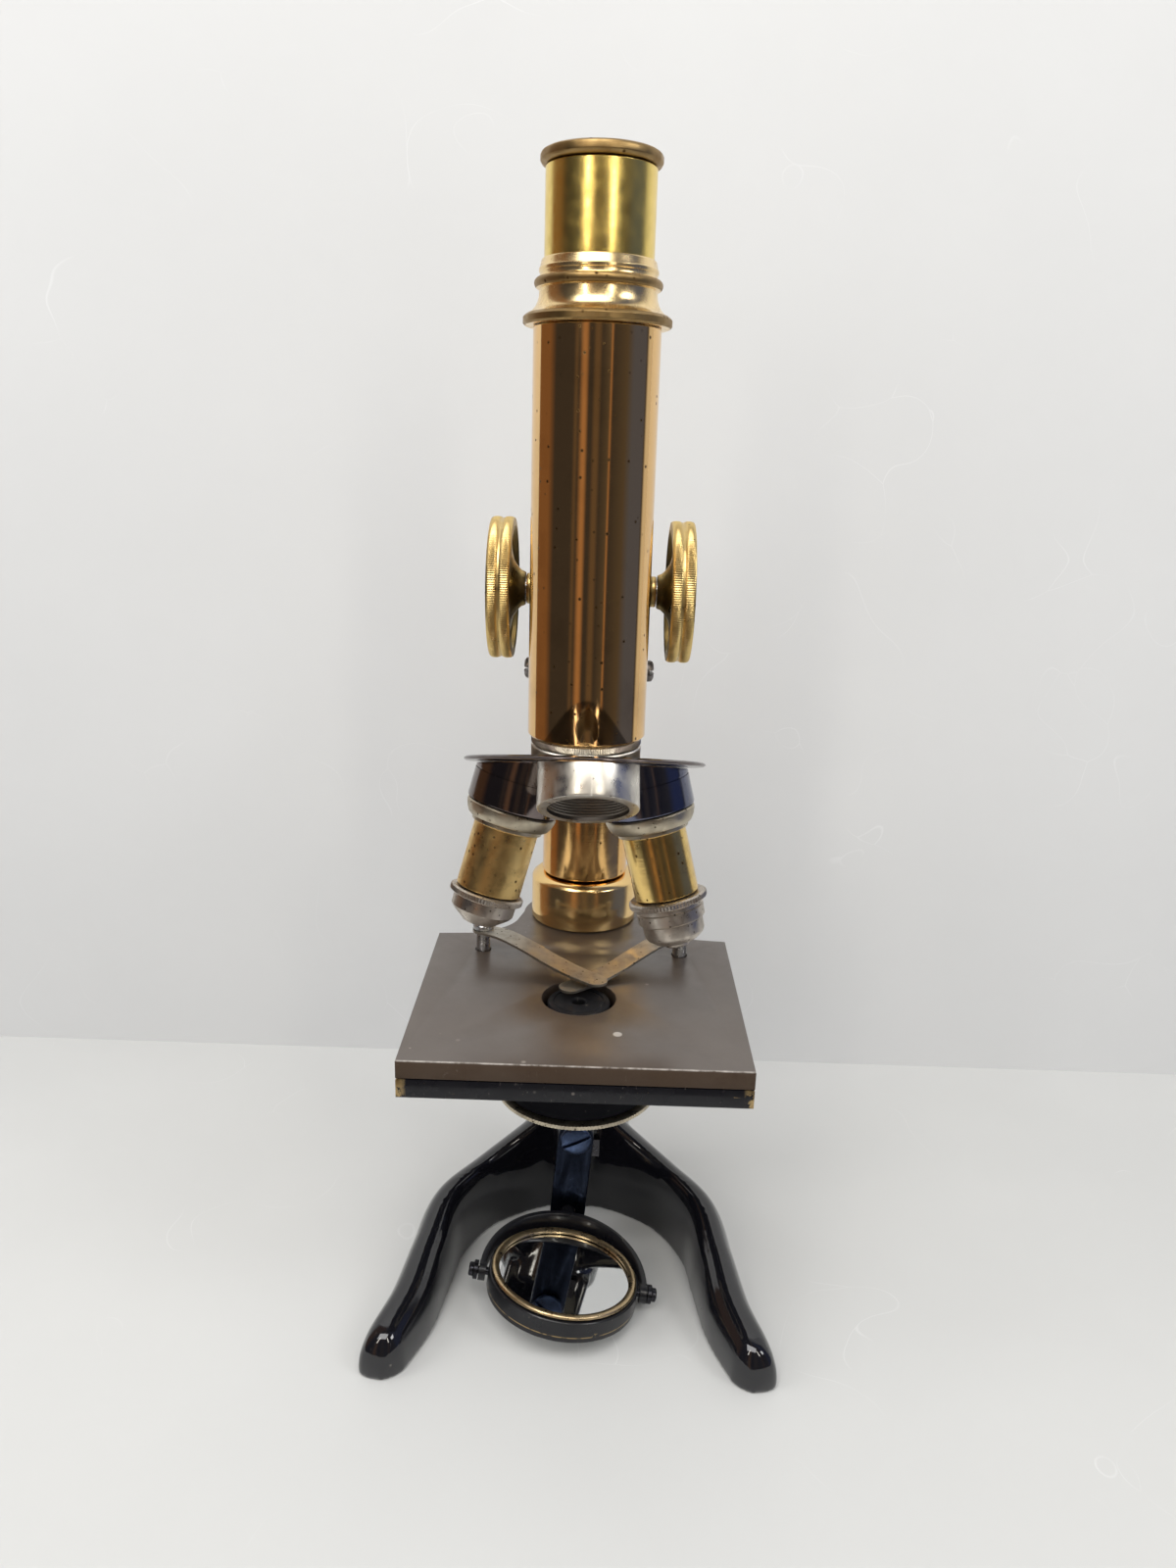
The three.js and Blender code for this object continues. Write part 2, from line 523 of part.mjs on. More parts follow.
function addTube() {
  add("body_tube", tubeShape(TUBE.r, TUBE.boreR, TUBE.bottom, TUBE.top, WIDE_SIDES), BRASS);
  const { bottom, flangeR, neckR, beadR, beadZ, top, boreR } = COLLAR;
  const collar = [
    [boreR, bottom - 8],
    [TUBE.boreR - GAP, bottom - 8],
    [TUBE.boreR - GAP, bottom],
    [flangeR, bottom],
    [flangeR, bottom + 2.4],
    [flangeR - 2.2, bottom + 3.2],
    [neckR + 0.3, bottom + 5.4],
    [neckR, beadZ - 1.6],
    [beadR, beadZ - 1.35],
    [beadR, beadZ + 1.35],
    [neckR - 0.1, beadZ + 1.6],
    [neckR - 0.1, top - 3],
    [boreR + 0.4, top - 1.2],
    [boreR + 0.4, top],
    [boreR, top],
  ];
  add("tube_collar", turned(collar, WIDE_SIDES), SATIN_BRASS);
  add("draw_tube", tubeShape(DRAW.r, DRAW.boreR, DRAW.bottom, DRAW.top, WIDE_SIDES), SATIN_BRASS);

  const { rimR, rimTop, barrelR, boreR: eyeBore, bottom: low } = EYEPIECE;
  const rimLow = DRAW.top + GAP;
  const eyeSeat = 214;
  const eyepiece = [
    [eyeBore, low],
    [barrelR, low],
    [barrelR, rimLow],
    [rimR - 0.4, rimLow],
    [rimR, rimLow + 0.5],
    [rimR, rimTop - 0.6],
    [rimR - 0.7, rimTop],
    [7, rimTop],
    [5, rimTop - 1.4],
    [5, rimTop - 2.4],
    [7, rimTop - 2.4],
    [7, eyeSeat],
    [eyeBore, eyeSeat],
  ];
  add("eyepiece_barrel", turned(eyepiece, WIDE_SIDES), SATIN_BRASS);
  const eyeLens = [
    [0, eyeSeat + 0.6],
    [6.6, eyeSeat + 0.6],
    [6.6, eyeSeat + 2.4],
    [4, eyeSeat + 3.9],
    [0, eyeSeat + 4.6],
  ];
  add("eye_lens", turned(eyeLens), GLASS);
  const fieldLens = [[0, low + 1], [eyeBore - GAP, low + 2.6], [eyeBore - GAP, low + 4.4], [0, low + 4.4]];
  add("field_lens", turned(fieldLens), GLASS);
}

function addNosepiece() {
  const { r, bottom, top, threadR, boreR } = NOSE_RING;
  const ring = [[boreR, bottom], [r, bottom], [r, top], [threadR, top], [threadR, top + 8], [boreR, top + 8]];
  add("nosepiece_ring", turned(ring, WIDE_SIDES), NICKEL);

  // Everything from here is set out from the apex, along the tilted turning axis
  const tilted = new THREE.Group();
  tilted.position.z = APEX_Z;
  tilted.rotation.x = -NOSE_TILT;
  stand.add(tilted);
  const plateTop = NOSE_PLATE.top;
  const under = (z) => box(-60, 60, -60, 60, -120, z);
  const upright = (geometry) => geometry.translate(0, 0, -APEX_Z).rotateX(NOSE_TILT);
  const wedge = upright(rod(r, 62, bottom - GAP, WIDE_SIDES));
  const tongueBack = 12;
  const tongue = new THREE.Shape();
  tongue.absarc(0, 0, 6.5, Math.PI, 2 * Math.PI, false);
  tongue.lineTo(6.5, tongueBack);
  tongue.lineTo(-6.5, tongueBack);
  tongue.closePath();
  const bridge = plate(tongue, plateTop + GAP, plateTop + 0.95);
  const light = upright(rod(9.2, 50, 90));
  const pivotHole = rod(2.5, plateTop - 1, plateTop + 5, 16);
  add("nosepiece_mount", cut(join(wedge, bridge), under(plateTop + GAP), light, pivotHole), NICKEL, tilted);

  const place = (turn) => {
    const station = new THREE.Group();
    station.rotation.set(-NOSE_TILT, 0, turn, "ZXY");
    tilted.add(station);
    return station;
  };
  const throughAt = (geometry, turn) => geometry.rotateX(-NOSE_TILT).rotateZ(turn);
  const third = (2 * Math.PI) / 3;
  const turns = [["front", NOSE_PARK], ["right", NOSE_PARK + third], ["left", NOSE_PARK - third]];
  const bores = turns.map(([, turn]) => throughAt(rod(SOCKET.boreR, -75, -45), turn));
  const disc = rod(NOSE_PLATE.r, NOSE_PLATE.bottom, plateTop, WIDE_SIDES);
  add("nosepiece_plate", cut(disc, ...bores, rod(2.5, -70, -50, 16)), NICKEL, tilted);
  const headTop = NOSE_PLATE.bottom - GAP;
  const head = [
    [0, headTop - 2.3],
    [3, headTop - 2.3],
    [4.5, headTop - 1.3],
    [4.5, headTop],
    [0, headTop],
  ];
  add("nosepiece_pivot_screw", join(turned(head), rod(2.2, headTop - 1, plateTop + 0.9, 16)), STEEL, tilted);

  for (const [name, turn] of turns) {
    const station = place(turn);
    const lift = (geometry) => geometry.rotateZ(-turn).rotateX(NOSE_TILT);
    const above = lift(box(-60, 60, -60, 60, NOSE_PLATE.bottom - GAP, 0));
    const socket = cut(tubeShape(SOCKET.r, SOCKET.boreR, SOCKET.end, -52), above);
    add(`socket_${name}`, socket, NICKEL, station);
    if (name !== "front") addObjective(name, station);
  }
}

const NOSE_CONE = {
  left: { ringR: 10.1, steps: [[8.7, -99.4], [8.5, -103.2], [4.6, -106.6]] },
  right: {
    ringR: 10.8,
    steps: [
      [9.3, -99.6],
      [9.2, -104.4],
      [8.5, -104.6],
      [8.3, -108.2],
      [6, -110.4],
      [3.6, -110.6],
      [3.4, -112],
    ],
  },
};

function addObjective(name, station) {
  const { flangeR, bodyR, threadR, boreR, body, bodyEnd } = OBJECTIVE;
  const flangeTop = SOCKET.end - GAP;
  const barrel = [
    [boreR, bodyEnd],
    [bodyR, bodyEnd],
    [bodyR, body - 1.2],
    [bodyR + 0.9, body - 1.2],
    [bodyR + 0.9, body],
    [flangeR - 1.4, body],
    [flangeR - 0.2, body + 1.8],
    [flangeR, flangeTop],
    [threadR, flangeTop],
    [threadR, flangeTop + 8],
    [boreR, flangeTop + 8],
  ];
  add(`objective_${name}_barrel`, turned(barrel), SATIN_BRASS, station);
  const { ringR, steps } = NOSE_CONE[name];
  const [tipR, tip] = steps[steps.length - 1];
  const top = bodyEnd - GAP;
  const lensR = 1.9;
  const nose = [
    [boreR - 2, top + 6],
    [boreR - 2, top - 4],
    [lensR + 0.2, tip + 2.2],
    [lensR + 0.2, tip],
    [tipR, tip],
    ...steps.slice(0, -1).reverse(),
    [ringR - 0.6, top - 2],
    [ringR, top - 1.6],
    [ringR, top - 0.4],
    [ringR - 0.6, top],
    [boreR - GAP, top],
    [boreR - GAP, top + 6],
  ];
  add(`objective_${name}_nose`, turned(nose), NICKEL, station);
  const lens = [[0, tip + 0.3], [lensR, tip + 0.3], [lensR, tip + 1.2], [0, tip + 1.9]];
  add(`objective_${name}_lens`, turned(lens, 16), GLASS, station);
}

// Mirror on its bar: the bar hangs from a screw, the fork turns on a stem, the cell tilts in the fork.
function addMirror() {
  const { halfWidth, front, back, pivotZ, length, hang } = BAR;
  const support = join(
    box(GAP - STOP.inner, STOP.inner - GAP, back + GAP, back + 4, STOP.bottom, -STAGE.thick - GAP),
    box(-9, 9, 26, 37.5, -STAGE.thick - GAP - 3, -STAGE.thick - GAP),
  );
  const screwHole = rodAlongY(1.9, back - 1, back + 6, 16).translate(0, 0, pivotZ);
  add("mirror_bracket", cut(support, screwHole), LACQUER);
  add("bar_stop", box(STOP.inner, STOP.outer, back + GAP, back + 3.8, STOP.bottom, STOP.top), STEEL);

  const swing = new THREE.Group();
  swing.position.z = pivotZ;
  swing.rotation.y = hang;
  stand.add(swing);
  const strip = new THREE.Shape();
  strip.absarc(0, 0, halfWidth, 0, Math.PI, false);
  strip.lineTo(-halfWidth, -length);
  strip.absarc(0, -length, halfWidth, Math.PI, 2 * Math.PI, false);
  strip.closePath();
  const bar = plate(strip, 0, back - front, 8).rotateX(Math.PI / 2).translate(0, back, 0);
  const holeAt = (r, z) => rodAlongY(r, front - 5, back + 5).translate(0, 0, z);
  const holes = [holeAt(1.9, 0), holeAt(FORK.stemR + GAP, -length)];
  add("mirror_bar", cut(bar, ...holes), BLUED, swing);
  const head = slottedHead(5.2, 2.4, 1.1).rotateX(Math.PI / 2).translate(0, front - GAP, 0);
  const shank = rodAlongY(1.6, front - 1, back + 3.6, 12);
  add("bar_pivot_screw", join(head, shank).rotateY(-Math.PI / 6), BLUED, swing);

  const forkGroup = new THREE.Group();
  forkGroup.position.z = -length;
  forkGroup.rotation.y = FORK.turn;
  swing.add(forkGroup);
  const { midR, halfThick, halfTall, stemR, drop } = FORK;
  const arc = new THREE.Shape();
  arc.absarc(0, 0, midR + halfThick, 0, Math.PI, false);
  arc.absarc(0, 0, midR - halfThick, Math.PI, 0, true);
  arc.closePath();
  const slope = new THREE.Matrix4().makeShear(0, 0, 0, drop / midR, 0, 0);
  const band = plate(arc, -halfTall, halfTall).applyMatrix4(slope).translate(0, 0, -drop);
  const end = (side) => rodAlongX(halfTall, -halfThick, halfThick).translate(side * midR, 0, -drop);
  const stem = rodAlongY(stemR, midR - 0.5, back + 2.4);
  const pivotHoles = rodAlongX(1.5, -40, 40, 12).translate(0, 0, -drop);
  add("mirror_fork", cut(join(band, end(-1), end(1), stem), pivotHoles), LACQUER, forkGroup);

  for (const [name, side] of [["left", -1], ["right", 1]]) {
    const outside = midR + halfThick + GAP;
    const screw = join(
      rod(1.2, CELL.r - 1.2, outside + 0.5, 12),
      rod(2.9, outside, outside + 1.3, 6),
      rod(2.1, outside + 1.2, outside + 2.9, 16),
    );
    add(`mirror_screw_${name}`, screw.rotateY((side * Math.PI) / 2).translate(0, 0, -drop), BLUED, forkGroup);
  }

  const { r, half, seatR, glassR, pitch } = CELL;
  const tipped = new THREE.Group();
  tipped.position.z = -drop;
  tipped.rotation.x = pitch;
  forkGroup.add(tipped);
  const web = 1;
  const bezelSeat = half - 0.9;
  const ring = [
    [0, -web],
    [seatR, -web],
    [seatR, -half],
    [r, -half],
    [r, bezelSeat],
    [seatR, bezelSeat],
    [seatR, web],
    [0, web],
  ];
  const cell = turned(ring, WIDE_SIDES);
  const sockets = rodAlongX(1.5, -40, 40, 12);
  const middle = rod(r - 1.6, -half, half);
  add("mirror_cell", cut(cell, cut(sockets, middle)), LACQUER, tipped);
  const bezelLow = half - 0.6;
  const bezelTop = half + 0.6;
  const bezel = [
    [seatR - 1, bezelLow],
    [r - 0.9, bezelLow],
    [r - 0.7, half],
    [r - 1.2, bezelTop],
    [seatR - 0.7, bezelTop],
    [seatR - 1, half],
  ];
  add("mirror_bezel", turned(bezel, WIDE_SIDES), BRASS, tipped);
  add("mirror_plane_glass", rod(glassR, web + GAP, half - 0.6 - GAP, WIDE_SIDES), MIRROR, tipped);
  const glassBack = -web - GAP;
  const hollow = 0.9;
  const dish = [
    [0, glassBack],
    [glassR, glassBack],
    [glassR, -half + 0.4],
    [glassR * 0.6, -half + hollow],
    [0, 0.3 + hollow - half],
  ];
  add("mirror_concave_glass", turned(dish, WIDE_SIDES), MIRROR, tipped);
}

addFoot();
addStage();
addSubstage();
addClip("left", -1, 4.9, [6.2, 6.9, 6, 4.4, 3.2, 2.9]);
addClip("right", 1, 2.7, [6.2, 6.6, 4.8, 2.4, 0.8, 0.5]);
addColumn();
addLimb();
addPinion();
addRack();
addTube();
addNosepiece();
addMirror();

export default microscope;
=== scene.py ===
"""Looks of a brass and black lacquer microscope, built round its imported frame.

Metres, +Z up, -Y towards the person who looks into it. Outlines are in millimetres and are scaled
as they become meshes. Heights count from the stage's top face, x and y from the optical axis.
"""
import json
import math

import bmesh
import bpy
from mathutils import Matrix, Vector


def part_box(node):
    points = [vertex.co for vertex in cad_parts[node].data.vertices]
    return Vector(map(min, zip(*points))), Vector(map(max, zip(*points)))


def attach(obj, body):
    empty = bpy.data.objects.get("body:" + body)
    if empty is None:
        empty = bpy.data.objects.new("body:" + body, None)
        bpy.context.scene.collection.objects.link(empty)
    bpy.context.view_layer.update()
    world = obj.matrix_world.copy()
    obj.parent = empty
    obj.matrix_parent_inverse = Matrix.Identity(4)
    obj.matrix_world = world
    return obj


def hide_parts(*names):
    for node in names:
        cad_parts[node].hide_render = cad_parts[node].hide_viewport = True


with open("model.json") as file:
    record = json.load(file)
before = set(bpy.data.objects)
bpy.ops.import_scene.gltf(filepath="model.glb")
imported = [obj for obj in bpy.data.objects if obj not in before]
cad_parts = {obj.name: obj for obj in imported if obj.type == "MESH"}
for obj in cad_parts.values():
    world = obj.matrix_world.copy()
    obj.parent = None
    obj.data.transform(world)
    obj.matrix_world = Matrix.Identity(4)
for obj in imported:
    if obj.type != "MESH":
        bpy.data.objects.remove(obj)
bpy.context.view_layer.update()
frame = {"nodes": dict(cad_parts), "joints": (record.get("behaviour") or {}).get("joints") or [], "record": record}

RECORD = frame["record"]
JOINTS = {joint["name"]: joint for joint in frame["joints"]}
BODY_OF = {node: body for body, nodes in RECORD["behaviour"]["bodies"].items() for node in nodes}
SLOT_OF = {part["node"]: part["material_slot"] for part in RECORD["subparts"]}
MM = 0.001


# ---- places, read from the frame

def middle(node):
    low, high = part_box(node)
    return (low + high) / 2


def turn_about(axis, degrees):
    return Matrix.Rotation(math.radians(degrees), 4, axis)


STAGE_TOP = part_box("stage_top_plate")[1].z


def above_stage(z):
    """A height in the frame as millimetres above the stage's top face."""
    return (z - STAGE_TOP) / MM


AXIS_Y = middle("body_tube").y
COLUMN_Y = (middle("column_sleeve").y - AXIS_Y) / MM
HINGE_Z = above_stage(middle("hinge_pin").z)
OPTICAL = Matrix.Translation((middle("body_tube").x, AXIS_Y, STAGE_TOP))
COLUMN = Matrix.Translation((middle("column_sleeve").x, middle("column_sleeve").y, STAGE_TOP))
PINION = Matrix.Translation(middle("pinion"))
HINGE = Matrix.Translation(middle("hinge_pin"))
HINGE_ACROSS = HINGE @ turn_about("Y", 90)
PIN_HOLE_R = 3.3

nose_joint = JOINTS["nosepiece_turn"]
NOSE_AXIS = Vector(nose_joint["axis"])
NOSE_TILT = math.degrees(math.atan2(NOSE_AXIS.y, NOSE_AXIS.z))
NOSE_PARK = 3.8  # degrees short of the half-way point
APEX = Matrix.Translation(nose_joint["pos_m"])
TILTED = APEX @ turn_about("X", -NOSE_TILT)
STATION = {
    name: TILTED @ turn_about("Z", NOSE_PARK + turn) @ turn_about("X", -NOSE_TILT)
    for name, turn in (("front", 0), ("right", 120), ("left", -120))
}

BAR_HANG = 4.4  # degrees the mirror bar hangs to one side
FORK_TURN = 3.1  # degrees more that the fork has turned on it
bar_pivot = Vector(JOINTS["mirror_bar_swing"]["pos_m"])
fork_pivot = Vector(JOINTS["mirror_fork_turn"]["pos_m"])
BAR = Matrix.Translation((bar_pivot.x, AXIS_Y, bar_pivot.z)) @ turn_about("Y", BAR_HANG)
FORK = Matrix.Translation((fork_pivot.x, AXIS_Y, fork_pivot.z)) @ turn_about("Y", BAR_HANG + FORK_TURN)
FORK_DROP = 3.4  # from the fork's stem down to the pivots of the mirror
CELL_PITCH = -5.5  # degrees the mirror's front edge is tipped up
PIVOTS = FORK @ Matrix.Translation((0, 0, -FORK_DROP * MM))
CELL = PIVOTS @ turn_about("X", CELL_PITCH)


def span(node, where):
    """A turned node's radius and its lowest and highest heights along the axis of a place, in mm."""
    inverse = where.inverted()
    points = [inverse @ v.co / MM for v in frame["nodes"][node].data.vertices]
    radius = max(math.hypot(p.x, p.y) for p in points)
    return radius, min(p.z for p in points), max(p.z for p in points)


# ---- meshes

def mesh_object(name, points, faces, where):
    mesh = bpy.data.meshes.new(name)
    mesh.from_pydata([Vector(p) * MM for p in points], [], faces)
    tidy_mesh(mesh)
    piece = bpy.data.objects.new(name, mesh)
    bpy.context.scene.collection.objects.link(piece)
    piece.matrix_world = where
    return piece


def tidy_mesh(mesh):
    work = bmesh.new()
    work.from_mesh(mesh)
    bmesh.ops.remove_doubles(work, verts=work.verts, dist=1e-6)
    bmesh.ops.dissolve_degenerate(work, edges=work.edges, dist=1e-7)
    bmesh.ops.recalc_face_normals(work, faces=work.faces)
    work.to_mesh(mesh)
    work.free()


def apply_modifiers(piece):
    """The piece's mesh with its modifiers made real."""
    bpy.context.view_layer.update()
    evaluated = piece.evaluated_get(bpy.context.evaluated_depsgraph_get())
    mesh = bpy.data.meshes.new_from_object(evaluated)
    piece.modifiers.clear()
    old = piece.data
    piece.data = mesh
    bpy.data.meshes.remove(old)
    return piece


def smooth(piece, angle=32):
    piece.data.shade_smooth()
    piece.data.set_sharp_from_angle(angle=math.radians(angle))
    return piece


def rounded(piece, width=0.15, angle=32, segments=2):
    """Small real rounds on every sharp edge."""
    bevel = piece.modifiers.new("edge_round", "BEVEL")
    bevel.width = width * MM
    bevel.segments = segments
    bevel.limit_method = "ANGLE"
    bevel.angle_limit = math.radians(angle)
    bevel.harden_normals = True
    piece.data.shade_smooth()
    return piece


def combine(piece, tool, how="DIFFERENCE"):
    """Cuts a tool from a piece, or joins it on, and removes the tool."""
    boolean = piece.modifiers.new("combine", "BOOLEAN")
    boolean.operation = how
    boolean.object = tool
    boolean.solver = "EXACT"
    apply_modifiers(piece)
    bpy.data.objects.remove(tool)
    return piece


def turned(name, outline, where, sides=96, teeth=0):
    """A turned piece from its outline: radius, height and, where it is knurled, the knurl's depth."""
    steps = teeth * 4 if teeth else sides
    count = len(outline)
    points = []
    for i in range(steps):
        angle = 2 * math.pi * i / steps
        share = (0, 0.5, 1, 0.5)[i % 4]
        for r, z, *depth in outline:
            reach = r - (depth[0] * share if depth else 0)
            points.append((reach * math.cos(angle), reach * math.sin(angle), z))
    ring = outline[0][0] > 0
    faces = []
    for i in range(steps):
        a, b = i * count, (i + 1) % steps * count
        for j in range(count if ring else count - 1):
            k = (j + 1) % count
            faces.append((a + j, b + j, b + k, a + k))
    return mesh_object(name, points, faces, where)


def rod(r, low, high, where, sides=48):
    """A plain cylinder, to cut a round hole or to join on."""
    return turned("rod", [(0, low), (r, low), (r, high), (0, high)], where, sides)


def arc_points(centre, r, start, end, steps=8):
    """Outline points along an arc, its angles in degrees."""
    cx, cz = centre
    angles = [math.radians(start + (end - start) * i / steps) for i in range(steps + 1)]
    return [(cx + r * math.cos(a), cz + r * math.sin(a)) for a in angles]


def flat(name, loops, low, high, where, edge=0.2):
    """A flat piece between two heights from closed loops of points, the first one outside."""
    curve = bpy.data.curves.new(name, "CURVE")
    curve.dimensions = "2D"
    curve.fill_mode = "BOTH"
    curve.extrude = ((high - low) / 2 - edge) * MM
    curve.bevel_depth = edge * MM
    curve.bevel_resolution = 1
    curve.offset = -edge * MM
    for loop in loops:
        spline = curve.splines.new("POLY")
        spline.points.add(len(loop) - 1)
        for point, (x, y) in zip(spline.points, loop):
            point.co = (x * MM, y * MM, 0, 1)
        spline.use_cyclic_u = True
    shape = bpy.data.objects.new(name, curve)
    bpy.context.scene.collection.objects.link(shape)
    bpy.context.view_layer.update()
    mesh = bpy.data.meshes.new_from_object(shape.evaluated_get(bpy.context.evaluated_depsgraph_get()))
    bpy.data.objects.remove(shape)
    mesh.transform(Matrix.Translation((0, 0, (low + high) / 2 * MM)))
    tidy_mesh(mesh)
    piece = bpy.data.objects.new(name, mesh)
    bpy.context.scene.collection.objects.link(piece)
    piece.matrix_world = where
    return smooth(piece, 40)


def block(name, low, high, where):
    (x0, y0, z0), (x1, y1, z1) = low, high
    corners = [(x, y, z) for z in (z0, z1) for y in (y0, y1) for x in (x0, x1)]
    faces = [(0, 2, 3, 1), (4, 5, 7, 6), (0, 1, 5, 4), (2, 6, 7, 3), (0, 4, 6, 2), (1, 3, 7, 5)]
    return mesh_object(name, corners, faces, where)


def circle(x, y, r, sides=64):
    angles = [2 * math.pi * i / sides for i in range(sides)]
    return [(x + r * math.cos(a), y + r * math.sin(a)) for a in angles]


def loft(name, loops, where):
    """A closed skin through equal loops of points."""
    n = len(loops[0])
    faces = []
    for i in range(len(loops) - 1):
        for j in range(n):
            k = (j + 1) % n
            faces.append((i * n + j, i * n + k, (i + 1) * n + k, (i + 1) * n + j))
    faces.append(tuple(reversed(range(n))))
    faces.append(tuple((len(loops) - 1) * n + j for j in range(n)))
    return mesh_object(name, [p for loop in loops for p in loop], faces, where)


def slotted_head(name, r, tall, slot, where, slot_turn=0):
    """A domed screw head standing on its place, with its slot along x before it is turned."""
    dome = [(0, 0), (r, 0), (r, tall * 0.5), (r * 0.93, tall * 0.72), (r * 0.7, tall * 0.9), (0, tall)]
    head = turned(name, dome, where, 64)
    low, high = (-r - 1, -slot / 2, tall * 0.4), (r + 1, slot / 2, tall + 1)
    return rounded(combine(head, block("slot", low, high, where @ turn_about("Z", slot_turn))), 0.12)


def stands_for(piece, *nodes):
    """The piece is shown in place of CAD nodes, and rides with the first of them."""
    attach(piece, BODY_OF[nodes[0]])
    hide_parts(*nodes)
    return piece


def goes_with(piece, node):
    """The piece is a detail beside a CAD node, and rides as it does."""
    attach(piece, BODY_OF[node])
    return piece


# ---- materials

class Nodes:
    """A node tree, with short ways to add to it."""

    def __init__(self, tree):
        self.tree = tree

    def node(self, kind, inputs=None, **settings):
        made = self.tree.nodes.new(kind)
        for key, value in settings.items():
            setattr(made, key, value)
        for key, value in (inputs or {}).items():
            if isinstance(value, bpy.types.NodeSocket):
                self.tree.links.new(value, made.inputs[key])
            else:
                made.inputs[key].default_value = value
        return made

    def band(self, value, low, high, to_low=0, to_high=1):
        inputs = {"Value": value, "From Min": low, "From Max": high, "To Min": to_low, "To Max": to_high}
        return self.node("ShaderNodeMapRange", inputs).outputs["Result"]

    def maths(self, how, a, b):
        return self.node("ShaderNodeMath", {0: a, 1: b}, operation=how).outputs["Value"]

    def times(self, a, b):
        return self.maths("MULTIPLY", a, b)

    def larger(self, a, b):
        return self.maths("MAXIMUM", a, b)


class Finish(Nodes):
    """A procedural material, with its colours, spots and relief."""

    def __init__(self, name, colour, metallic, roughness, **sockets):
        self.material = bpy.data.materials.new(name)
        self.material.use_nodes = True
        super().__init__(self.material.node_tree)
        self.shader = self.tree.nodes["Principled BSDF"]
        self.surface = self.shader.outputs["BSDF"]
        self.set("Base Color", (*colour, 1))
        self.set("Metallic", metallic)
        self.set("Roughness", roughness)
        for socket, value in sockets.items():
            self.set(socket.replace("_", " "), value)

    def set(self, socket, value):
        self.shader.inputs[socket].default_value = value

    def place(self, stretch=(1, 1, 1)):
        """Where on the object, in metres, stretched along its axes."""
        spot = self.node("ShaderNodeTexCoord").outputs["Object"]
        return self.node("ShaderNodeMapping", {"Vector": spot, "Scale": stretch}).outputs["Vector"]

    def noise(self, size, detail=4, stretch=(1, 1, 1), rough=0.5):
        """Cloudy values from 0 to 1, their size in millimetres."""
        place = self.place(stretch)
        inputs = {"Vector": place, "Scale": 1 / (size * MM), "Detail": detail, "Roughness": rough}
        return self.node("ShaderNodeTexNoise", inputs).outputs["Fac"]

    def mix(self, share, a, b):
        """Colour a where share is 0, colour b where it is 1."""
        made = self.node("ShaderNodeMix", data_type="RGBA")
        for socket, value in ((made.inputs[0], share), (made.inputs[6], a), (made.inputs[7], b)):
            if isinstance(value, bpy.types.NodeSocket):
                self.tree.links.new(value, socket)
            else:
                socket.default_value = (*value, 1) if isinstance(value, tuple) else value
        return made.outputs[2]

    def use(self, socket, value):
        self.tree.links.new(value, self.shader.inputs[socket])

    def relief(self, height, depth, strength=1.0):
        """Bump from a height of 0 to 1, its depth in millimetres."""
        bump = self.node("ShaderNodeBump", {"Height": height, "Distance": depth * MM, "Strength": strength})
        self.use("Normal", bump.outputs["Normal"])


def spots(finish, size, share):
    """Small scattered spots that cover about that share of the surface."""
    inputs = {"Vector": finish.place(), "Scale": 1 / (size * MM), "Randomness": 1.0}
    cells = finish.node("ShaderNodeTexVoronoi", inputs)
    near = finish.band(cells.outputs["Distance"], 0.10, 0.24, 1, 0)
    chosen = finish.band(cells.outputs["Color"], 1 - share, 1 - share + 0.02)
    return finish.times(near, chosen)


TARNISH = (0.25, 0.14, 0.05)


def brass(name, colour, roughness, tarnish_share=0.3, speck=0.15, lines=0.3, clouds=9, grain=0.0):
    """Lacquered brass: cloudy tarnish, small specks, and fine turning lines that draw out its highlights."""
    finish = Finish(name, colour, 1.0, roughness, Anisotropic=grain)
    cloud = finish.noise(clouds, 7, rough=0.62)
    patch = finish.band(cloud, 0.5, 0.78, 0, tarnish_share)
    dots = spots(finish, 2.2, speck)
    base = finish.mix(patch, colour, TARNISH)
    finish.use("Base Color", finish.mix(dots, base, tuple(c * 0.45 for c in TARNISH)))
    haze = finish.band(finish.noise(3, 6), 0.3, 0.75, roughness * 0.75, roughness * 1.35)
    finish.use("Roughness", finish.maths("ADD", haze, finish.band(dots, 0, 1, 0, 0.3)))
    turning = finish.noise(0.35, 2, stretch=(0.02, 0.02, 1))
    finish.relief(turning, 0.004 * lines, 1.0)
    return finish.material


def nickel(name, colour, roughness, dull_share=0.4, speck=0.2):
    """Worn nickel plate: grey clouds, brownish specks and fine scratches."""
    finish = Finish(name, colour, 1.0, roughness)
    patch = finish.band(finish.noise(5, 7, rough=0.65), 0.45, 0.75, 0, dull_share)
    dots = spots(finish, 1.6, speck)
    base = finish.mix(patch, colour, (0.22, 0.2, 0.17))
    finish.use("Base Color", finish.mix(dots, base, (0.09, 0.07, 0.05)))
    haze = finish.band(finish.noise(2.5, 6), 0.3, 0.75, roughness * 0.7, roughness * 1.5)
    finish.use("Roughness", finish.maths("ADD", haze, finish.band(dots, 0, 1, 0, 0.25)))
    finish.relief(finish.noise(0.3, 2, stretch=(0.05, 0.05, 1)), 0.003)
    return finish.material


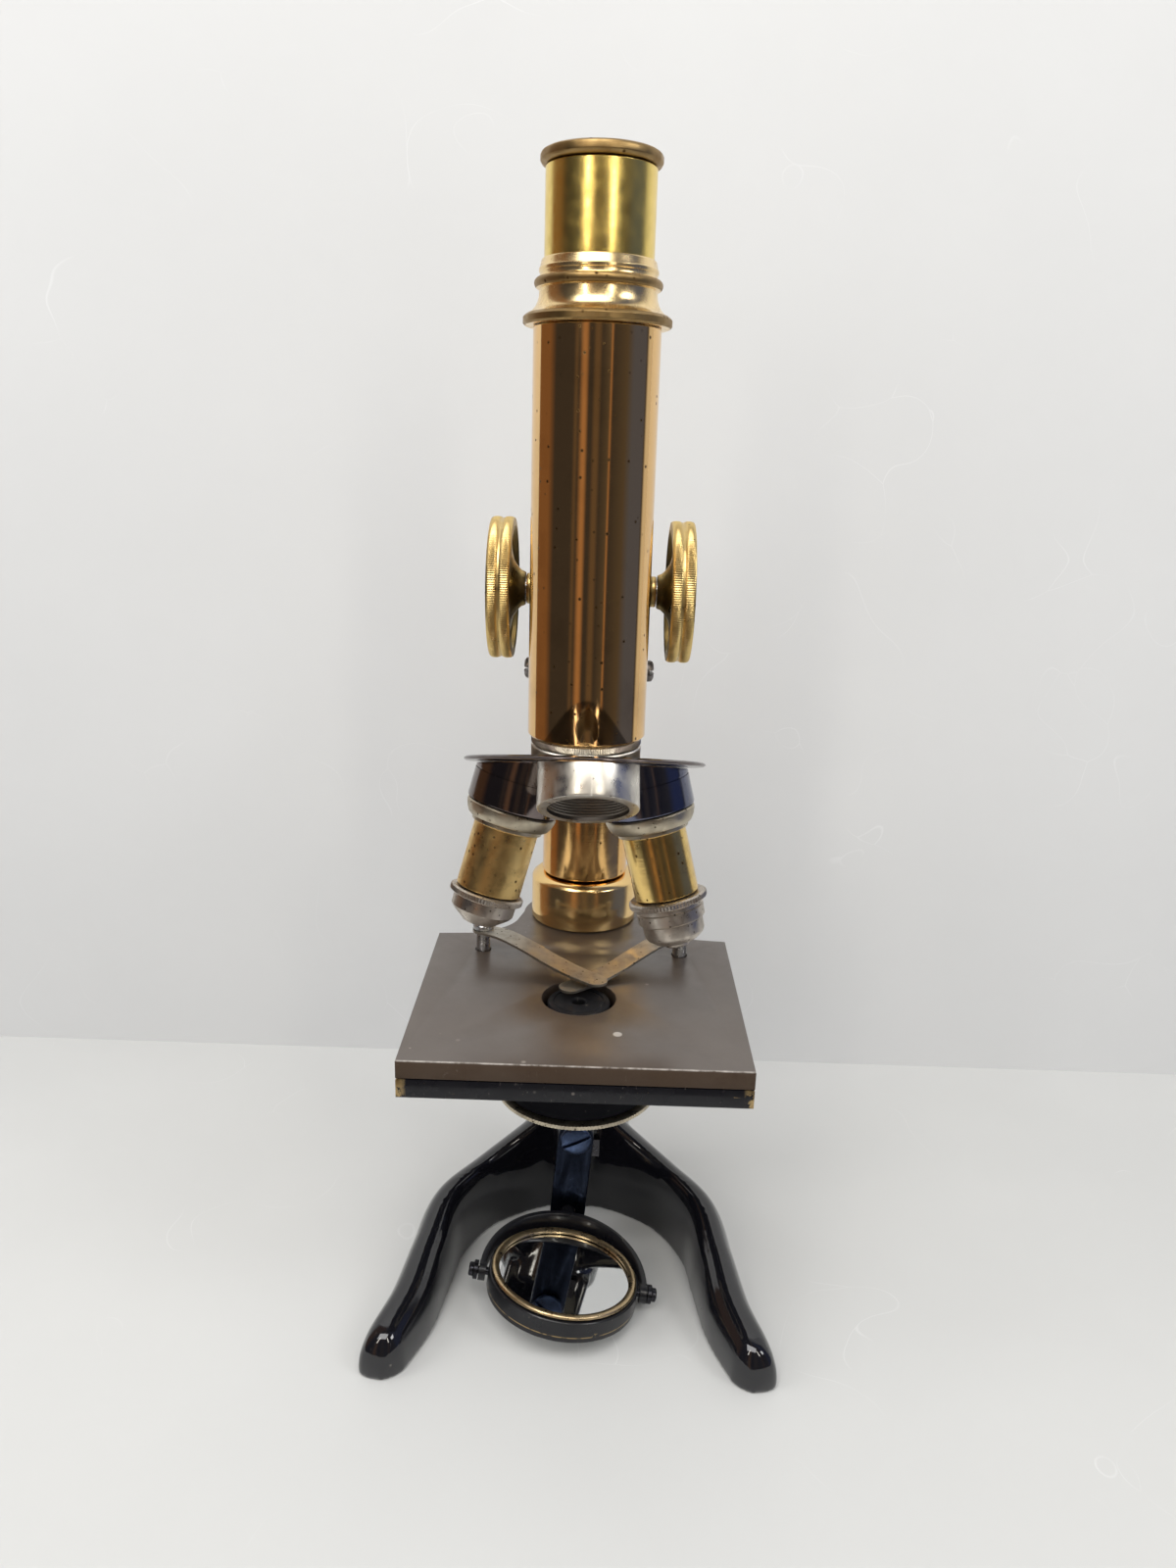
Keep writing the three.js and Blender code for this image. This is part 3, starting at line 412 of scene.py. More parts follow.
def black_lacquer(name, roughness=0.07, chips=None, wear=0.0, shine=1.0):
    """Black lacquer with dust, fine scratches, and chips down to the metal where asked."""
    black = (0.006, 0.006, 0.008)
    finish = Finish(name, black, 0.0, roughness, IOR=1.5, Specular_IOR_Level=0.6 * shine)
    finish.set("Coat Weight", 0.35 * shine)
    finish.set("Coat Roughness", 0.03 / shine)
    scratch = finish.band(finish.noise(7, 3, stretch=(6, 0.6, 3), rough=0.7), 0.66, 0.72)
    dust = spots(finish, 2.6, 0.12)
    mark = finish.larger(finish.times(scratch, 0.5), dust)
    haze = finish.band(finish.noise(12, 6), 0.3, 0.8, roughness * 0.7, roughness * 2.2)
    finish.use("Roughness", finish.maths("ADD", haze, finish.band(mark, 0, 1, 0, 0.25)))
    colour = finish.mix(finish.times(mark, 0.35 + wear), black, (0.16, 0.14, 0.12))
    if chips:
        chipped = chips(finish)
        colour = finish.mix(chipped, colour, (0.42, 0.30, 0.14))
        finish.use("Metallic", chipped)
    finish.use("Base Color", colour)
    finish.relief(finish.noise(1.8, 3), 0.02, 0.35)
    return finish.material


def ebonite():
    """Aged hard rubber: satin brown-grey with scuffs, stains and a pale spot near the front."""
    brown = (0.055, 0.036, 0.024)
    finish = Finish("aged_ebonite", brown, 0.0, 0.42, IOR=1.7, Specular_IOR_Level=1.0)
    cloud = finish.band(finish.noise(28, 6), 0.35, 0.7)
    stain = finish.band(finish.noise(11, 7, rough=0.7), 0.52, 0.72, 0, 0.55)
    base = finish.mix(cloud, brown, (0.068, 0.049, 0.036))
    base = finish.mix(stain, base, (0.042, 0.025, 0.017))
    scuff = finish.band(finish.noise(5, 4, stretch=(1, 7, 1), rough=0.75), 0.66, 0.74, 0, 0.4)
    scuff_across = finish.band(finish.noise(6, 4, stretch=(8, 1.4, 1), rough=0.75), 0.67, 0.75, 0, 0.35)
    base = finish.mix(finish.larger(scuff, scuff_across), base, (0.16, 0.13, 0.11))
    dots = finish.larger(spots(finish, 3.4, 0.12), spots(finish, 1.7, 0.06))
    base = finish.mix(finish.times(dots, 0.7), base, (0.34, 0.30, 0.25))
    # one pale spot, to the right of the light hole and nearer the front
    spot_at = {0: finish.place(), 1: (0.0112, -0.0212, 0)}
    offset = finish.node("ShaderNodeVectorMath", spot_at, operation="DISTANCE")
    pale = finish.band(offset.outputs["Value"], 0.0011, 0.0014, 1, 0)
    base = finish.mix(pale, base, (0.45, 0.41, 0.36))
    # the top front edge is painted pale in broken streaks: partly rubbed wear, partly a painted highlight along
    # the edge
    spot = finish.node("ShaderNodeSeparateXYZ", {0: finish.place()})
    top = finish.band(spot.outputs["Z"], -0.0004, -0.0001)
    front = finish.band(spot.outputs["Y"], -0.0385, -0.0388)
    rubbed = finish.band(finish.noise(2.5, 5, rough=0.7), 0.36, 0.6, 0.15, 0.9)
    edge = finish.times(finish.times(top, front), rubbed)
    dull_front = finish.band(spot.outputs["Y"], -0.0387, -0.0389, 1, 0.04)
    finish.use("Specular IOR Level", dull_front)
    # the pale edge mixed in here is rubbed wear and a painted highlight
    finish.use("Base Color", finish.mix(edge, base, (0.48, 0.44, 0.40)))
    rub = finish.band(finish.noise(9, 7, rough=0.7), 0.3, 0.75, 0.28, 0.44)
    finish.use("Roughness", rub)
    finish.relief(finish.noise(0.5, 4), 0.01, 0.5)
    return finish.material


def steel(name, colour, roughness):
    finish = Finish(name, colour, 1.0, roughness)
    patch = finish.band(finish.noise(2.2, 6, rough=0.7), 0.45, 0.72, 0, 0.6)
    finish.use("Base Color", finish.mix(patch, colour, tuple(c * 0.45 for c in colour)))
    finish.use("Roughness", finish.band(finish.noise(1.1, 5), 0.3, 0.7, roughness * 0.7, roughness * 1.4))
    finish.relief(finish.noise(0.4, 3, stretch=(1, 1, 0.1)), 0.004)
    return finish.material


def clear_glass():
    finish = Finish("clear_glass", (0.95, 0.97, 0.97), 0.0, 0.02, IOR=1.5)
    finish.set("Transmission Weight", 1.0)
    finish.use("Roughness", finish.band(finish.noise(6, 4), 0.35, 0.75, 0.01, 0.06))
    return finish.material


def silvered_glass():
    silver = (0.86, 0.88, 0.88)
    finish = Finish("silvered_glass", silver, 1.0, 0.02)
    dust = spots(finish, 1.8, 0.1)
    finish.use("Base Color", finish.mix(finish.times(dust, 0.5), silver, (0.5, 0.48, 0.44)))
    finish.use("Roughness", finish.band(finish.noise(5, 5), 0.4, 0.8, 0.015, 0.07))
    return finish.material


def toe_chips(finish):
    """Bare metal on the toes' lowest edge and here and there along a leg."""
    spot = finish.node("ShaderNodeSeparateXYZ", {0: finish.node("ShaderNodeTexCoord").outputs["Object"]})
    low = finish.band(spot.outputs["Z"], 0.0015, 0.005, 1, 0)
    front = finish.band(spot.outputs["Y"], -0.043, -0.047)
    torn = finish.band(finish.noise(3.5, 6, rough=0.7), 0.5, 0.54)
    toe = finish.times(finish.times(low, front), torn)
    stray = finish.band(finish.noise(6, 5, rough=0.7), 0.735, 0.75)
    return finish.larger(toe, stray)


def corner_chips(finish):
    """Bare metal at the plate's front corners, with hairline scratches along its front edge."""
    spot = finish.node("ShaderNodeSeparateXYZ", {0: finish.node("ShaderNodeTexCoord").outputs["Object"]})
    half_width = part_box("stage_under_plate")[1].x
    reach = finish.maths("ABSOLUTE", spot.outputs["X"], 0)
    near = finish.band(reach, half_width - 0.0028, half_width - 0.0008)
    torn = finish.band(finish.noise(2.2, 6, rough=0.7), 0.46, 0.52)
    corner = finish.times(near, torn)
    hair = finish.band(finish.noise(4, 3, stretch=(0.8, 1, 5), rough=0.8), 0.70, 0.72, 0, 0.8)
    return finish.larger(corner, hair)


def cell_lines(finish):
    """A brass line turned into the side of the mirror's cell, and a few rubbed places."""
    spot = finish.node("ShaderNodeSeparateXYZ", {0: finish.place()})
    away = finish.maths("ABSOLUTE", finish.maths("ADD", spot.outputs["Z"], 0.0019), 0)
    line = finish.band(away, 0.0001, 0.00022, 0.8, 0)
    broken = finish.band(finish.noise(4, 4), 0.42, 0.5)
    rubbed = finish.band(finish.noise(2.6, 6, rough=0.75), 0.66, 0.70, 0, 0.7)
    return finish.larger(finish.times(line, broken), rubbed)


FINISH = {
    "tube": brass("polished_tube_brass", (0.85, 0.55, 0.24), 0.08, speck=0.3, lines=0.6, clouds=16),
    "draw": brass("bright_drawn_brass", (0.98, 0.74, 0.22), 0.2, 0.12, speck=0.05, lines=1, clouds=26,
                  grain=0.8),
    "rim": brass("dark_brass", (0.36, 0.24, 0.10), 0.42, 0.6, speck=0.4, lines=2, clouds=3),
    "flare": brass("flare_brass", (0.93, 0.70, 0.36), 0.24, speck=0.2, lines=2, clouds=6),
    "bezel": brass("bezel_brass", (0.60, 0.46, 0.27), 0.30, 0.5, speck=0.3, lines=2, clouds=4),
    "knob": brass("knob_brass", (0.76, 0.56, 0.23), 0.34, 0.25, speck=0.12, lines=1, clouds=8),
    "column": brass("copper_gold_brass", (0.95, 0.58, 0.22), 0.12, 0.35, speck=0.25, lines=1, clouds=10,
                    grain=0.5),
    "sleeve": brass("satin_copper_brass", (1.0, 0.70, 0.31), 0.17, 0.08, speck=0.03, clouds=24, grain=0.7),
    "aged": brass("aged_brass", (0.85, 0.60, 0.24), 0.34, 0.7, speck=0.7, lines=3, clouds=4, grain=0.5),
    "olive": brass("olive_polished_brass", (0.86, 0.61, 0.22), 0.17, 0.45, speck=0.35, lines=2, clouds=6,
                   grain=0.6),
    "nickel": nickel("bright_nickel", (0.76, 0.72, 0.63), 0.24, dull_share=0.35),
    "dull_nickel": nickel("dull_nickel", (0.58, 0.52, 0.45), 0.36, dull_share=0.6, speck=0.4),
    "socket": nickel("socket_nickel", (0.80, 0.76, 0.68), 0.33, dull_share=0.15, speck=0.08),
    # near-black nickel for the thread inside the sockets' bores: painted shade in the bore
    "thread": nickel("painted_shade_thread_nickel", (0.16, 0.14, 0.12), 0.4, dull_share=0.4, speck=0.1),
    "iris": nickel("brassy_nickel", (0.52, 0.46, 0.35), 0.36, dull_share=0.4, speck=0.3),
    "clip": nickel("clip_nickel", (0.46, 0.43, 0.37), 0.42, dull_share=0.6, speck=0.4),
    "dark_nickel": nickel("dark_nickel", (0.17, 0.14, 0.135), 0.12, dull_share=0.3, speck=0.1),
    "blue_nickel": nickel("blue_nickel", (0.14, 0.15, 0.21), 0.14, dull_share=0.3, speck=0.1),
    "lacquer": black_lacquer("black_lacquer"),
    "foot": black_lacquer("foot_lacquer", 0.06, toe_chips),
    "plate": black_lacquer("plate_lacquer", 0.2, corner_chips, wear=0.3, shine=0.4),
    "worn": black_lacquer("worn_lacquer", 0.3, wear=0.5, shine=0.6),
    "cell": black_lacquer("cell_lacquer", 0.3, cell_lines, wear=0.5, shine=0.6),
    "satin": black_lacquer("satin_black", 0.4, shine=0.05),
    "stop": black_lacquer("grey_black", 0.5, wear=0.2, shine=0.5),
    "ebonite": ebonite(),
    "steel": steel("bright_steel", (0.55, 0.55, 0.55), 0.3),
    "dull_steel": steel("dull_steel", (0.30, 0.28, 0.27), 0.45),
    "blued": steel("blue_black_steel", (0.012, 0.016, 0.028), 0.38),
    "blue_screw": steel("blued_screw", (0.050, 0.072, 0.135), 0.36),
    "black_steel": steel("black_steel", (0.045, 0.045, 0.052), 0.3),
    "glass": clear_glass(),
    "mirror": silvered_glass(),
}
NODE_FINISH = {"bar_stop": "black_steel", "mirror_bracket": "black_steel"}
SLOT_FINISH = {
    "black_lacquer": "lacquer",
    "ebonite": "ebonite",
    "polished_brass": "column",
    "satin_brass": "draw",
    "nickel": "nickel",
    "steel": "steel",
    "blued_steel": "blued",
    "glass": "glass",
    "mirror": "mirror",
}


def finish(piece, name):
    piece.data.materials.clear()
    piece.data.materials.append(FINISH[name])
    return piece


def show_turned(node, outline, where, look, sides=96, edge=0.15):
    """A turned piece with rounded edges, in place of its CAD node."""
    piece = rounded(turned(f"{node}_fine", outline, where, sides), edge)
    stands_for(finish(piece, look), node)


def show_knurled(node, outline, where, look, teeth, angle=28):
    """A turned piece with a knurled edge, in place of its CAD node."""
    piece = smooth(turned(f"{node}_fine", outline, where, teeth=teeth), angle)
    stands_for(finish(piece, look), node)


def finish_cad_nodes():
    """Every CAD node that stays in view gets a finish of its own or that of its slot."""
    for node, piece in frame["nodes"].items():
        finish(piece, NODE_FINISH.get(node, SLOT_FINISH[SLOT_OF[node]]))


# ---- foot

# The right leg's crest from the toe to the middle of the back: x, y, height, reach inwards and outwards
LEG = (
    (55.6, -32.8, 9.5, 5.8, 6.6),
    (55.2, -25, 13.5, 7.6, 6.8),
    (50.4, -10, 16.7, 8.2, 6.9),
    (47, 8, 20.9, 7.7, 7.1),
    (42, 25, 25.6, 5.7, 9.2),
    (29.7, 41, 27, 3, 12),
    (12.7, 51.5, 36, 2.8, 17.3),
    (0, 55, 47.7, 4, 23.6),
)
TOE_ROUND = 0.09
LEG_STEPS = 72
LEG_SIDES = 28


def spline(values, t):
    """A smooth curve through equally spaced values, t from 0 to 1."""
    last = len(values) - 1
    place = min(t * last, last - 1e-9)
    i = int(place)
    u = place - i
    before = values[i - 1] if i else 2 * values[0] - values[1]
    after = values[i + 2] if i + 2 <= last else 2 * values[last] - values[last - 1]
    a, b = values[i], values[i + 1]
    return 0.5 * (2 * a + (b - before) * u + (2 * before - 5 * a + 4 * b - after) * u * u
                  + (3 * a - before - 3 * b + after) * u ** 3)


def leg_loop(t, side, floor):
    x, y, tall, inward, outward = (spline([s[k] for s in LEG], t) for k in range(5))
    step = 1e-3
    ahead, behind = min(1, t + step), max(0, t - step)
    along = Vector([spline([s[k] for s in LEG], ahead) - spline([s[k] for s in LEG], behind) for k in (0, 1)])
    along.normalize()
    out = Vector((along.y, -along.x)) if t < 0.999 else Vector((0, 1))
    nose = math.sqrt(1 - (1 - t / TOE_ROUND) ** 2) if t < TOE_ROUND else 1
    narrow = max(0.25, nose)
    loop = []
    for j in range(LEG_SIDES + 1):
        angle = math.pi * j / LEG_SIDES
        reach = math.cos(angle)
        across = outward * reach if reach > 0 else -inward * abs(reach) ** 0.75
        rise = tall * max(0, math.sin(angle)) ** 0.85 * max(0.35, nose)
        loop.append((side * (x + out.x * across * narrow), y + out.y * across * narrow, floor + rise))
    return loop


def make_foot():
    floor = -STAGE_TOP / MM
    legs = []
    for side in (1, -1):
        loops = [leg_loop((i / LEG_STEPS) ** 0.9, side, floor) for i in range(LEG_STEPS + 1)]
        legs.append(loft("leg", loops, OPTICAL))
    post_half_width, post_half_depth, post_tall = 19, 14, 46
    post = [(post_half_width * x, COLUMN_Y + post_half_depth * y) for x, y in circle(0, 0, 1)]
    cheek = above_stage(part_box("foot_casting")[1].z) - HINGE_Z
    half = 15.5
    pillar = flat("post", [post], floor, floor + post_tall, OPTICAL)
    riser_low, riser_high = (-half, COLUMN_Y - cheek, floor + post_tall - 6), (half, COLUMN_Y + cheek, HINGE_Z)
    riser = block("riser", riser_low, riser_high, OPTICAL)
    foot = legs[0]
    for other in (legs[1], pillar, riser, rod(cheek, -half, half, HINGE_ACROSS, 64)):
        combine(foot, other, "UNION")
    remesh = foot.modifiers.new("skin", "REMESH")
    remesh.mode = "VOXEL"
    remesh.voxel_size = 0.8 * MM
    relax = foot.modifiers.new("relax", "SMOOTH")
    relax.iterations = 7
    apply_modifiers(foot)
    lug_gap = 8.9
    slot_low, slot_high = (-lug_gap, COLUMN_Y - 20, HINGE_Z - 13), (lug_gap, COLUMN_Y + 20, 0)
    combine(foot, block("slot", slot_low, slot_high, OPTICAL))
    combine(foot, rod(PIN_HOLE_R, -20, 20, HINGE_ACROSS, 32))
    foot.name = "foot_casting_fine"
    stands_for(finish(smooth(foot, 40), "foot"), "foot_casting")
    for side, name in ((-1, "left"), (1, "right")):
        outside = abs(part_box("hinge_screw_right")[0].x) / MM
        where = HINGE @ turn_about("Y", side * 90) @ Matrix.Translation((0, 0, outside * MM))
        head = slotted_head(f"hinge_screw_{name}_fine", 5.4, 2.2, 1.1, where, 20)
        stands_for(finish(head, "blued"), f"hinge_screw_{name}")


# ---- stage and substage

def stage_outline():
    low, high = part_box("stage_top_plate")
    half = high.x / MM
    front = (low.y - AXIS_Y) / MM
    tongue_r = (high.y - middle("column_sleeve").y) / MM - 0.05
    back = 43.2
    shoulder = (34, 44.4)
    neck = (22.4, 56)

    def bend(side):
        pull = (side * (neck[0] + 1.5), neck[1] - 6)
        start, end = (side * shoulder[0], shoulder[1]), (side * neck[0], neck[1])
        curve = []
        for t in (i / 12 for i in range(13)):
            weights = (1 - t) ** 2, 2 * t * (1 - t), t * t
            curve.append([sum(w * v for w, v in zip(weights, values)) for values in zip(start, pull, end)])
        return curve

    arc = arc_points((0, COLUMN_Y), tongue_r, 0, 180, 40)
    outline = [(-half, front), (half, front), (half, back)] + bend(1) + arc + bend(-1)[::-1] + [(-half, back)]
    holes = [circle(0, 0, 10.9), circle(0, COLUMN_Y, 10)]
    posts = [circle(side * 31.5, 32, 2.5, 32) for side in (-1, 1)]
    return [outline, *holes, *posts]


def make_stage():
    for node, name, edge in (("stage_top_plate", "ebonite", 0.25), ("stage_under_plate", "plate", 0.15)):
        low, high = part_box(node)
        heights = above_stage(low.z), above_stage(high.z)
        piece = flat(f"{node}_fine", stage_outline(), *heights, OPTICAL, edge)
        stands_for(finish(piece, name), node)
    r, low, high = span("column_base_sleeve", COLUMN)
    bore, chamfer = 10, 1.9
    sleeve = [(bore, low), (r - 0.3, low), (r, low + 0.3), (r, high - chamfer), (r - 0.25, high - chamfer + 0.45)]
    sleeve += [(r - chamfer, high - 0.1), (r - chamfer - 0.3, high), (bore, high)]
    show_turned("column_base_sleeve", sleeve, COLUMN, "sleeve", 128, 0.12)

    r, low, high = span("aperture_stop", OPTICAL)
    hole, wall = 2, 1.2
    stop = [(hole, high - wall), (r - wall, high - wall), (r - wall, low), (r, low), (r, high - 0.5)]
    stop += [(r - 0.4, high), (r - 1.7, high), (r - 1.8, high - 0.25), (r - 2.1, high - 0.25), (r - 2.2, high)]
    stop += [(hole + 0.5, high), (hole, high - 0.4)]
    show_turned("aperture_stop", stop, OPTICAL, "stop", 96, 0.08)

    r, low, high = span("substage_housing", OPTICAL)
    bore = 12.5
    housing = [(bore, low), (r - 0.4, low), (r, low + 0.4), (r, high), (bore, high)]
    show_turned("substage_housing", housing, OPTICAL, "satin", 128)
    r, low, high = span("iris_ring", OPTICAL)
    bore, knurl = 14, 0.22
    ring = [(bore, low), (r - 0.7, low), (r, low + 0.35, knurl), (r, high - 0.35, knurl)]
    ring += [(r - 0.7, high), (bore, high)]
    show_knurled("iris_ring", ring, OPTICAL, "iris", 150, 30)
    make_bracket()


def make_bracket():
    """The pad under the stage's tongue, with the lug that turns between the foot's cheeks."""
    top = above_stage(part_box("stage_bracket")[1].z)
    pad_half, pad_thick, lug_half, lug_r = 18, 5.5, 8.5, 11
    outline = [(-pad_half, 39), (pad_half, 39)] + arc_points((0, COLUMN_Y), pad_half, 0, 180, 48)
    bracket = flat("stage_bracket_fine", [outline], top - pad_thick, top, OPTICAL, 0.4)
    web = block("web", (-lug_half, COLUMN_Y - lug_r, HINGE_Z), (lug_half, COLUMN_Y + lug_r, top - 2), OPTICAL)
    combine(bracket, web, "UNION")
    combine(bracket, rod(lug_r, -lug_half, lug_half, HINGE_ACROSS, 64), "UNION")
    combine(bracket, rod(PIN_HOLE_R, -20, 20, HINGE_ACROSS, 32))
    stands_for(finish(smooth(bracket, 35), "lacquer"), "stage_bracket")


CLIP_HEIGHTS = {"left": (6.2, 6.9, 6, 4.4, 3.2, 2.9), "right": (6.2, 6.6, 4.8, 2.4, 0.8, 0.5)}


def make_clip(name, side, past):
    """A spring clip from its post to just past the middle."""
    post = Vector((31.5, 32))
    reach = Vector((-post.x - past, 4.5 - post.y))
    length = reach.length
    forward = reach.normalized()
    across = Vector((-forward.y, forward.x))
    half, thick, steps = 3.4, 0.8, 64
    loops = []
    for i in range(steps + 1):
        share = (1 - math.cos(math.pi * i / steps)) / 2
        run = -half + share * (length + 2 * half)
        from_end = min(run + half, length + half - run)
        round_end = math.sqrt(max(0, 1 - (1 - from_end / half) ** 2)) if from_end < half else 1
        width = half * max(0.12, round_end)
        z = spline(CLIP_HEIGHTS[name], min(1, max(0, run / length)))

        def corner(s, up):
            spot = post + forward * run + across * (s * width)
            return (side * spot.x, spot.y, z + up)

        loops.append([corner(-1, 0), corner(1, 0), corner(1, thick), corner(-1, thick)])
    clip = loft(f"stage_clip_{name}_fine", loops, OPTICAL)
    clip.data.shade_smooth()
    stands_for(finish(rounded(clip, 0.2, 40), "clip"), f"stage_clip_{name}")
    place = OPTICAL @ Matrix.Translation((side * post.x * MM, post.y * MM, 0))
    r, low, high = span(f"clip_post_{name}", place)
    shank, seat = 2.2, high - 2.2
    outline = [(0, low), (shank, low), (shank, seat), (r, seat), (r, seat + 1.3), (r - 0.5, seat + 1.9), (0, high)]
    show_turned(f"clip_post_{name}", outline, place, "steel", 48)


# ---- column, limb and focusing

def make_column():
    r, low, high = span("column_sleeve", COLUMN)
    bore, screw_hole, roof = 9.6, 2.5, 10
    sleeve = [(bore, low), (r - 0.3, low), (r, low + 0.3), (r, high - 1.2), (r - 1, high)]
    sleeve += [(screw_hole, high), (screw_hole, high - roof), (bore, high - roof)]
    show_turned("column_sleeve", sleeve, COLUMN, "column", 128)
    r, low, high = span("fine_focus_head", COLUMN)
    knurl = 0.3
    head = [(0, low), (r - 1.4, low), (r - 0.6, low + 0.5), (r, low + 0.9, knurl), (r, high - 4.4, knurl),
            (r - 0.8, high - 3.9), (r - 1, high - 3.3)]
    head += arc_points((r - 5.2, high - 4), 4, 25, 88, 8) + [(3.2, high - 0.35), (2.8, high), (0, high)]
    show_knurled("fine_focus_head", head, COLUMN, "knob", 84)


def limb_outline():
    """The arm from above: wide at the tube's slide, narrow behind it, and a collar round the column."""
    half, front, back, web, collar, corner = 16.5, 17, 40, 9, 17, 6
    meet = COLUMN_Y - math.sqrt(collar ** 2 - web ** 2)
    right = [(half, front)] + arc_points((half - corner, back - corner), corner, 0, 90)
    right += [(web + 0.6, back + 0.3), (web, back + 1), (web, meet)]
    start = math.degrees(math.atan2(meet - COLUMN_Y, web))
    arc = arc_points((0, COLUMN_Y), collar, start, 180 - start, 60)[1:-1]
    left = [(-x, y) for x, y in reversed(right)]
    return [right + arc + left, circle(0, COLUMN_Y, 14.64, 96)]


def make_limb():
    """The arm with its slideway, the chamber of the pinion's teeth and the bearing of its shaft."""
    low, high = (above_stage(corner.z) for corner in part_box("limb_arm"))
    limb = flat("limb_arm_fine", limb_outline(), low, high, OPTICAL, 0.6)
    combine(limb, block("slideway", (-7.3, 10, low - 5), (7.3, 26.2, high + 5), OPTICAL))
    across = PINION @ turn_about("Y", 90)
    combine(limb, rod(5.3, -6.5, 6.5, across))
    combine(limb, rod(3.9, -20, 20, across))
    stands_for(finish(smooth(limb, 30), "lacquer"), "limb_arm")
    for side, name in ((-1, "left"), (1, "right")):
        spot = middle(f"limb_screw_{name}")
        where = Matrix.Translation((side * 16.8 * MM, spot.y, spot.z)) @ turn_about("Y", side * 90)
        head = slotted_head(f"limb_screw_{name}_fine", 3.1, 2.4, 1.2, where, 90)
        stands_for(finish(head, "dull_steel"), f"limb_screw_{name}")


def make_knobs():
    r = span("coarse_knob_right", PINION @ turn_about("Y", 90))[0]
    hub_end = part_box("coarse_knob_right")[0].x / MM
    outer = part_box("coarse_knob_right")[1].x / MM
    inner = 22.2
    half_way = (inner + outer) / 2
    depth = 0.16
    bore = 3
    band = (half_way - inner - 0.3) / 2
    rims = []
    for centre in (inner + 0.1 + band, outer - 0.1 - band):
        for x, y in arc_points((0, 0), 1, -75, 75, 6):
            rims.append((r - 0.55 + 0.55 * x, centre + band * y, depth * x * x))
    hub = [(bore, hub_end), (4.6, hub_end), (4.9, hub_end + 0.4), (5.2, hub_end + 1.2)]
    back = [(6.1, inner - 1), (8.2, inner + 0.4), (11, inner + 1.1)]
    back += [(r - 4.6, inner + 1.7), (r - 3.4, inner + 1.4), (r - 2.9, inner + 0.3), (r - 2.3, inner)]
    face = [(r - 2.4, outer), (r - 3.2, outer - 0.3), (r - 4.4, outer - 1.7), (bore + 4, outer - 1.9)]
    face += [(bore + 2.6, outer - 1.3), (bore + 2.2, outer), (bore, outer)]
    profile = hub + back + rims + face
    for side, name in ((-1, "left"), (1, "right")):
        across = PINION @ turn_about("Y", side * 90)
        knob = turned(f"coarse_knob_{name}_fine", profile, across, teeth=200)
        stands_for(finish(smooth(knob, 26), "knob"), f"coarse_knob_{name}")
        ring = [(3.9, 16.95), (4.2, 16.95), (4.4, 17.2), (4.4, 18.4), (4.2, 18.65), (3.9, 18.65)]
        collar = turned(f"shaft_collar_{name}", ring, across, 64)
        goes_with(finish(smooth(collar, 40), "knob"), f"coarse_knob_{name}")


# ---- tubes and eyepiece

def make_tubes():
    r, low, high = span("body_tube", OPTICAL)
    bore = 14.6
    tube = [(bore, low), (r - 0.5, low), (r, low + 0.5), (r, high), (bore, high)]
    show_turned("body_tube", tube, OPTICAL, "tube", 160, 0.1)

    flange, low, top = span("tube_collar", OPTICAL)
    base = above_stage(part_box("body_tube")[1].z) + 0.3
    neck, bore, bead = 14.6, 13.7, 15.9
    bead_z = base + 9.75
    bead_r, step = 1.35, neck + 0.15
    collar = [(bore, low), (14.3, low), (14.3, base), (flange - 0.5, base), (flange, base + 0.5)]
    collar += [(flange, base + 1.9), (flange - 0.5, base + 2.4)]
    collar += [(neck + 3.0, base + 2.7), (neck + 1.9, base + 3.3), (neck + 1.0, base + 4.3)]
    collar += [(neck + 0.45, base + 5.4), (neck + 0.1, base + 6.6), (neck, bead_z - 1.7)]
    collar += arc_points((bead - bead_r, bead_z), bead_r, -88, 88, 10)
    collar += [(neck - 0.1, bead_z + 1.6), (neck - 0.1, top - 3.2), (step, top - 2.9), (step, top - 2.2)]
    collar += [(neck - 0.1, top - 1.9), (bore + 0.5, top - 0.4), (bore + 0.2, top), (bore, top)]
    piece = finish(rounded(turned("tube_collar_fine", collar, OPTICAL, 160), 0.12), "flare")
    piece.data.materials.append(FINISH["rim"])
    edges = ((base + 0.2, base + 2.6), (bead_z - 1.2, bead_z + 1.2))
    for face in piece.data.polygons:
        z = face.center.z / MM
        out = math.hypot(face.center.x, face.center.y) / MM
        if out > neck + 0.9 and any(a <= z <= b for a, b in edges):
            face.material_index = 1
    stands_for(piece, "tube_collar")

    r, low, high = span("draw_tube", OPTICAL)
    bore = 12.2
    draw = [(bore, low), (r, low), (r, high - 0.2), (r - 0.2, high), (bore, high)]
    show_turned("draw_tube", draw, OPTICAL, "draw", 160, 0.08)

    rim, low, high = span("eyepiece_barrel", OPTICAL)
    seat = above_stage(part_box("draw_tube")[1].z) + 0.3
    bore, barrel, lens_seat = 10.7, 11.9, 7
    cap = [(rim - 1.0, seat), (rim - 0.4, seat + 0.3), (rim, seat + 0.9), (rim, high - 1.0)]
    cap += [(rim - 0.3, high - 0.4), (rim - 1.0, high), (rim - 2.2, high), (rim - 2.7, high - 0.5)]
    dish = [(9, high - 0.9), (6.5, high - 1.8), (5, high - 2.3), (5, high - 2.6)]
    inside = [(lens_seat, high - 2.6), (lens_seat, high - 8.7), (bore, high - 8.7)]
    eyepiece = [(bore, low), (barrel, low), (barrel, seat)] + cap + dish + inside
    show_turned("eyepiece_barrel", eyepiece, OPTICAL, "rim", 160, 0.12)


# ---- nosepiece and objectives

KNURL = 0.3
LIGHT_WAY_R = 9.2
OBJECTIVE_BORE_R = 9.75
PIVOT_HOLE_R = 2.5


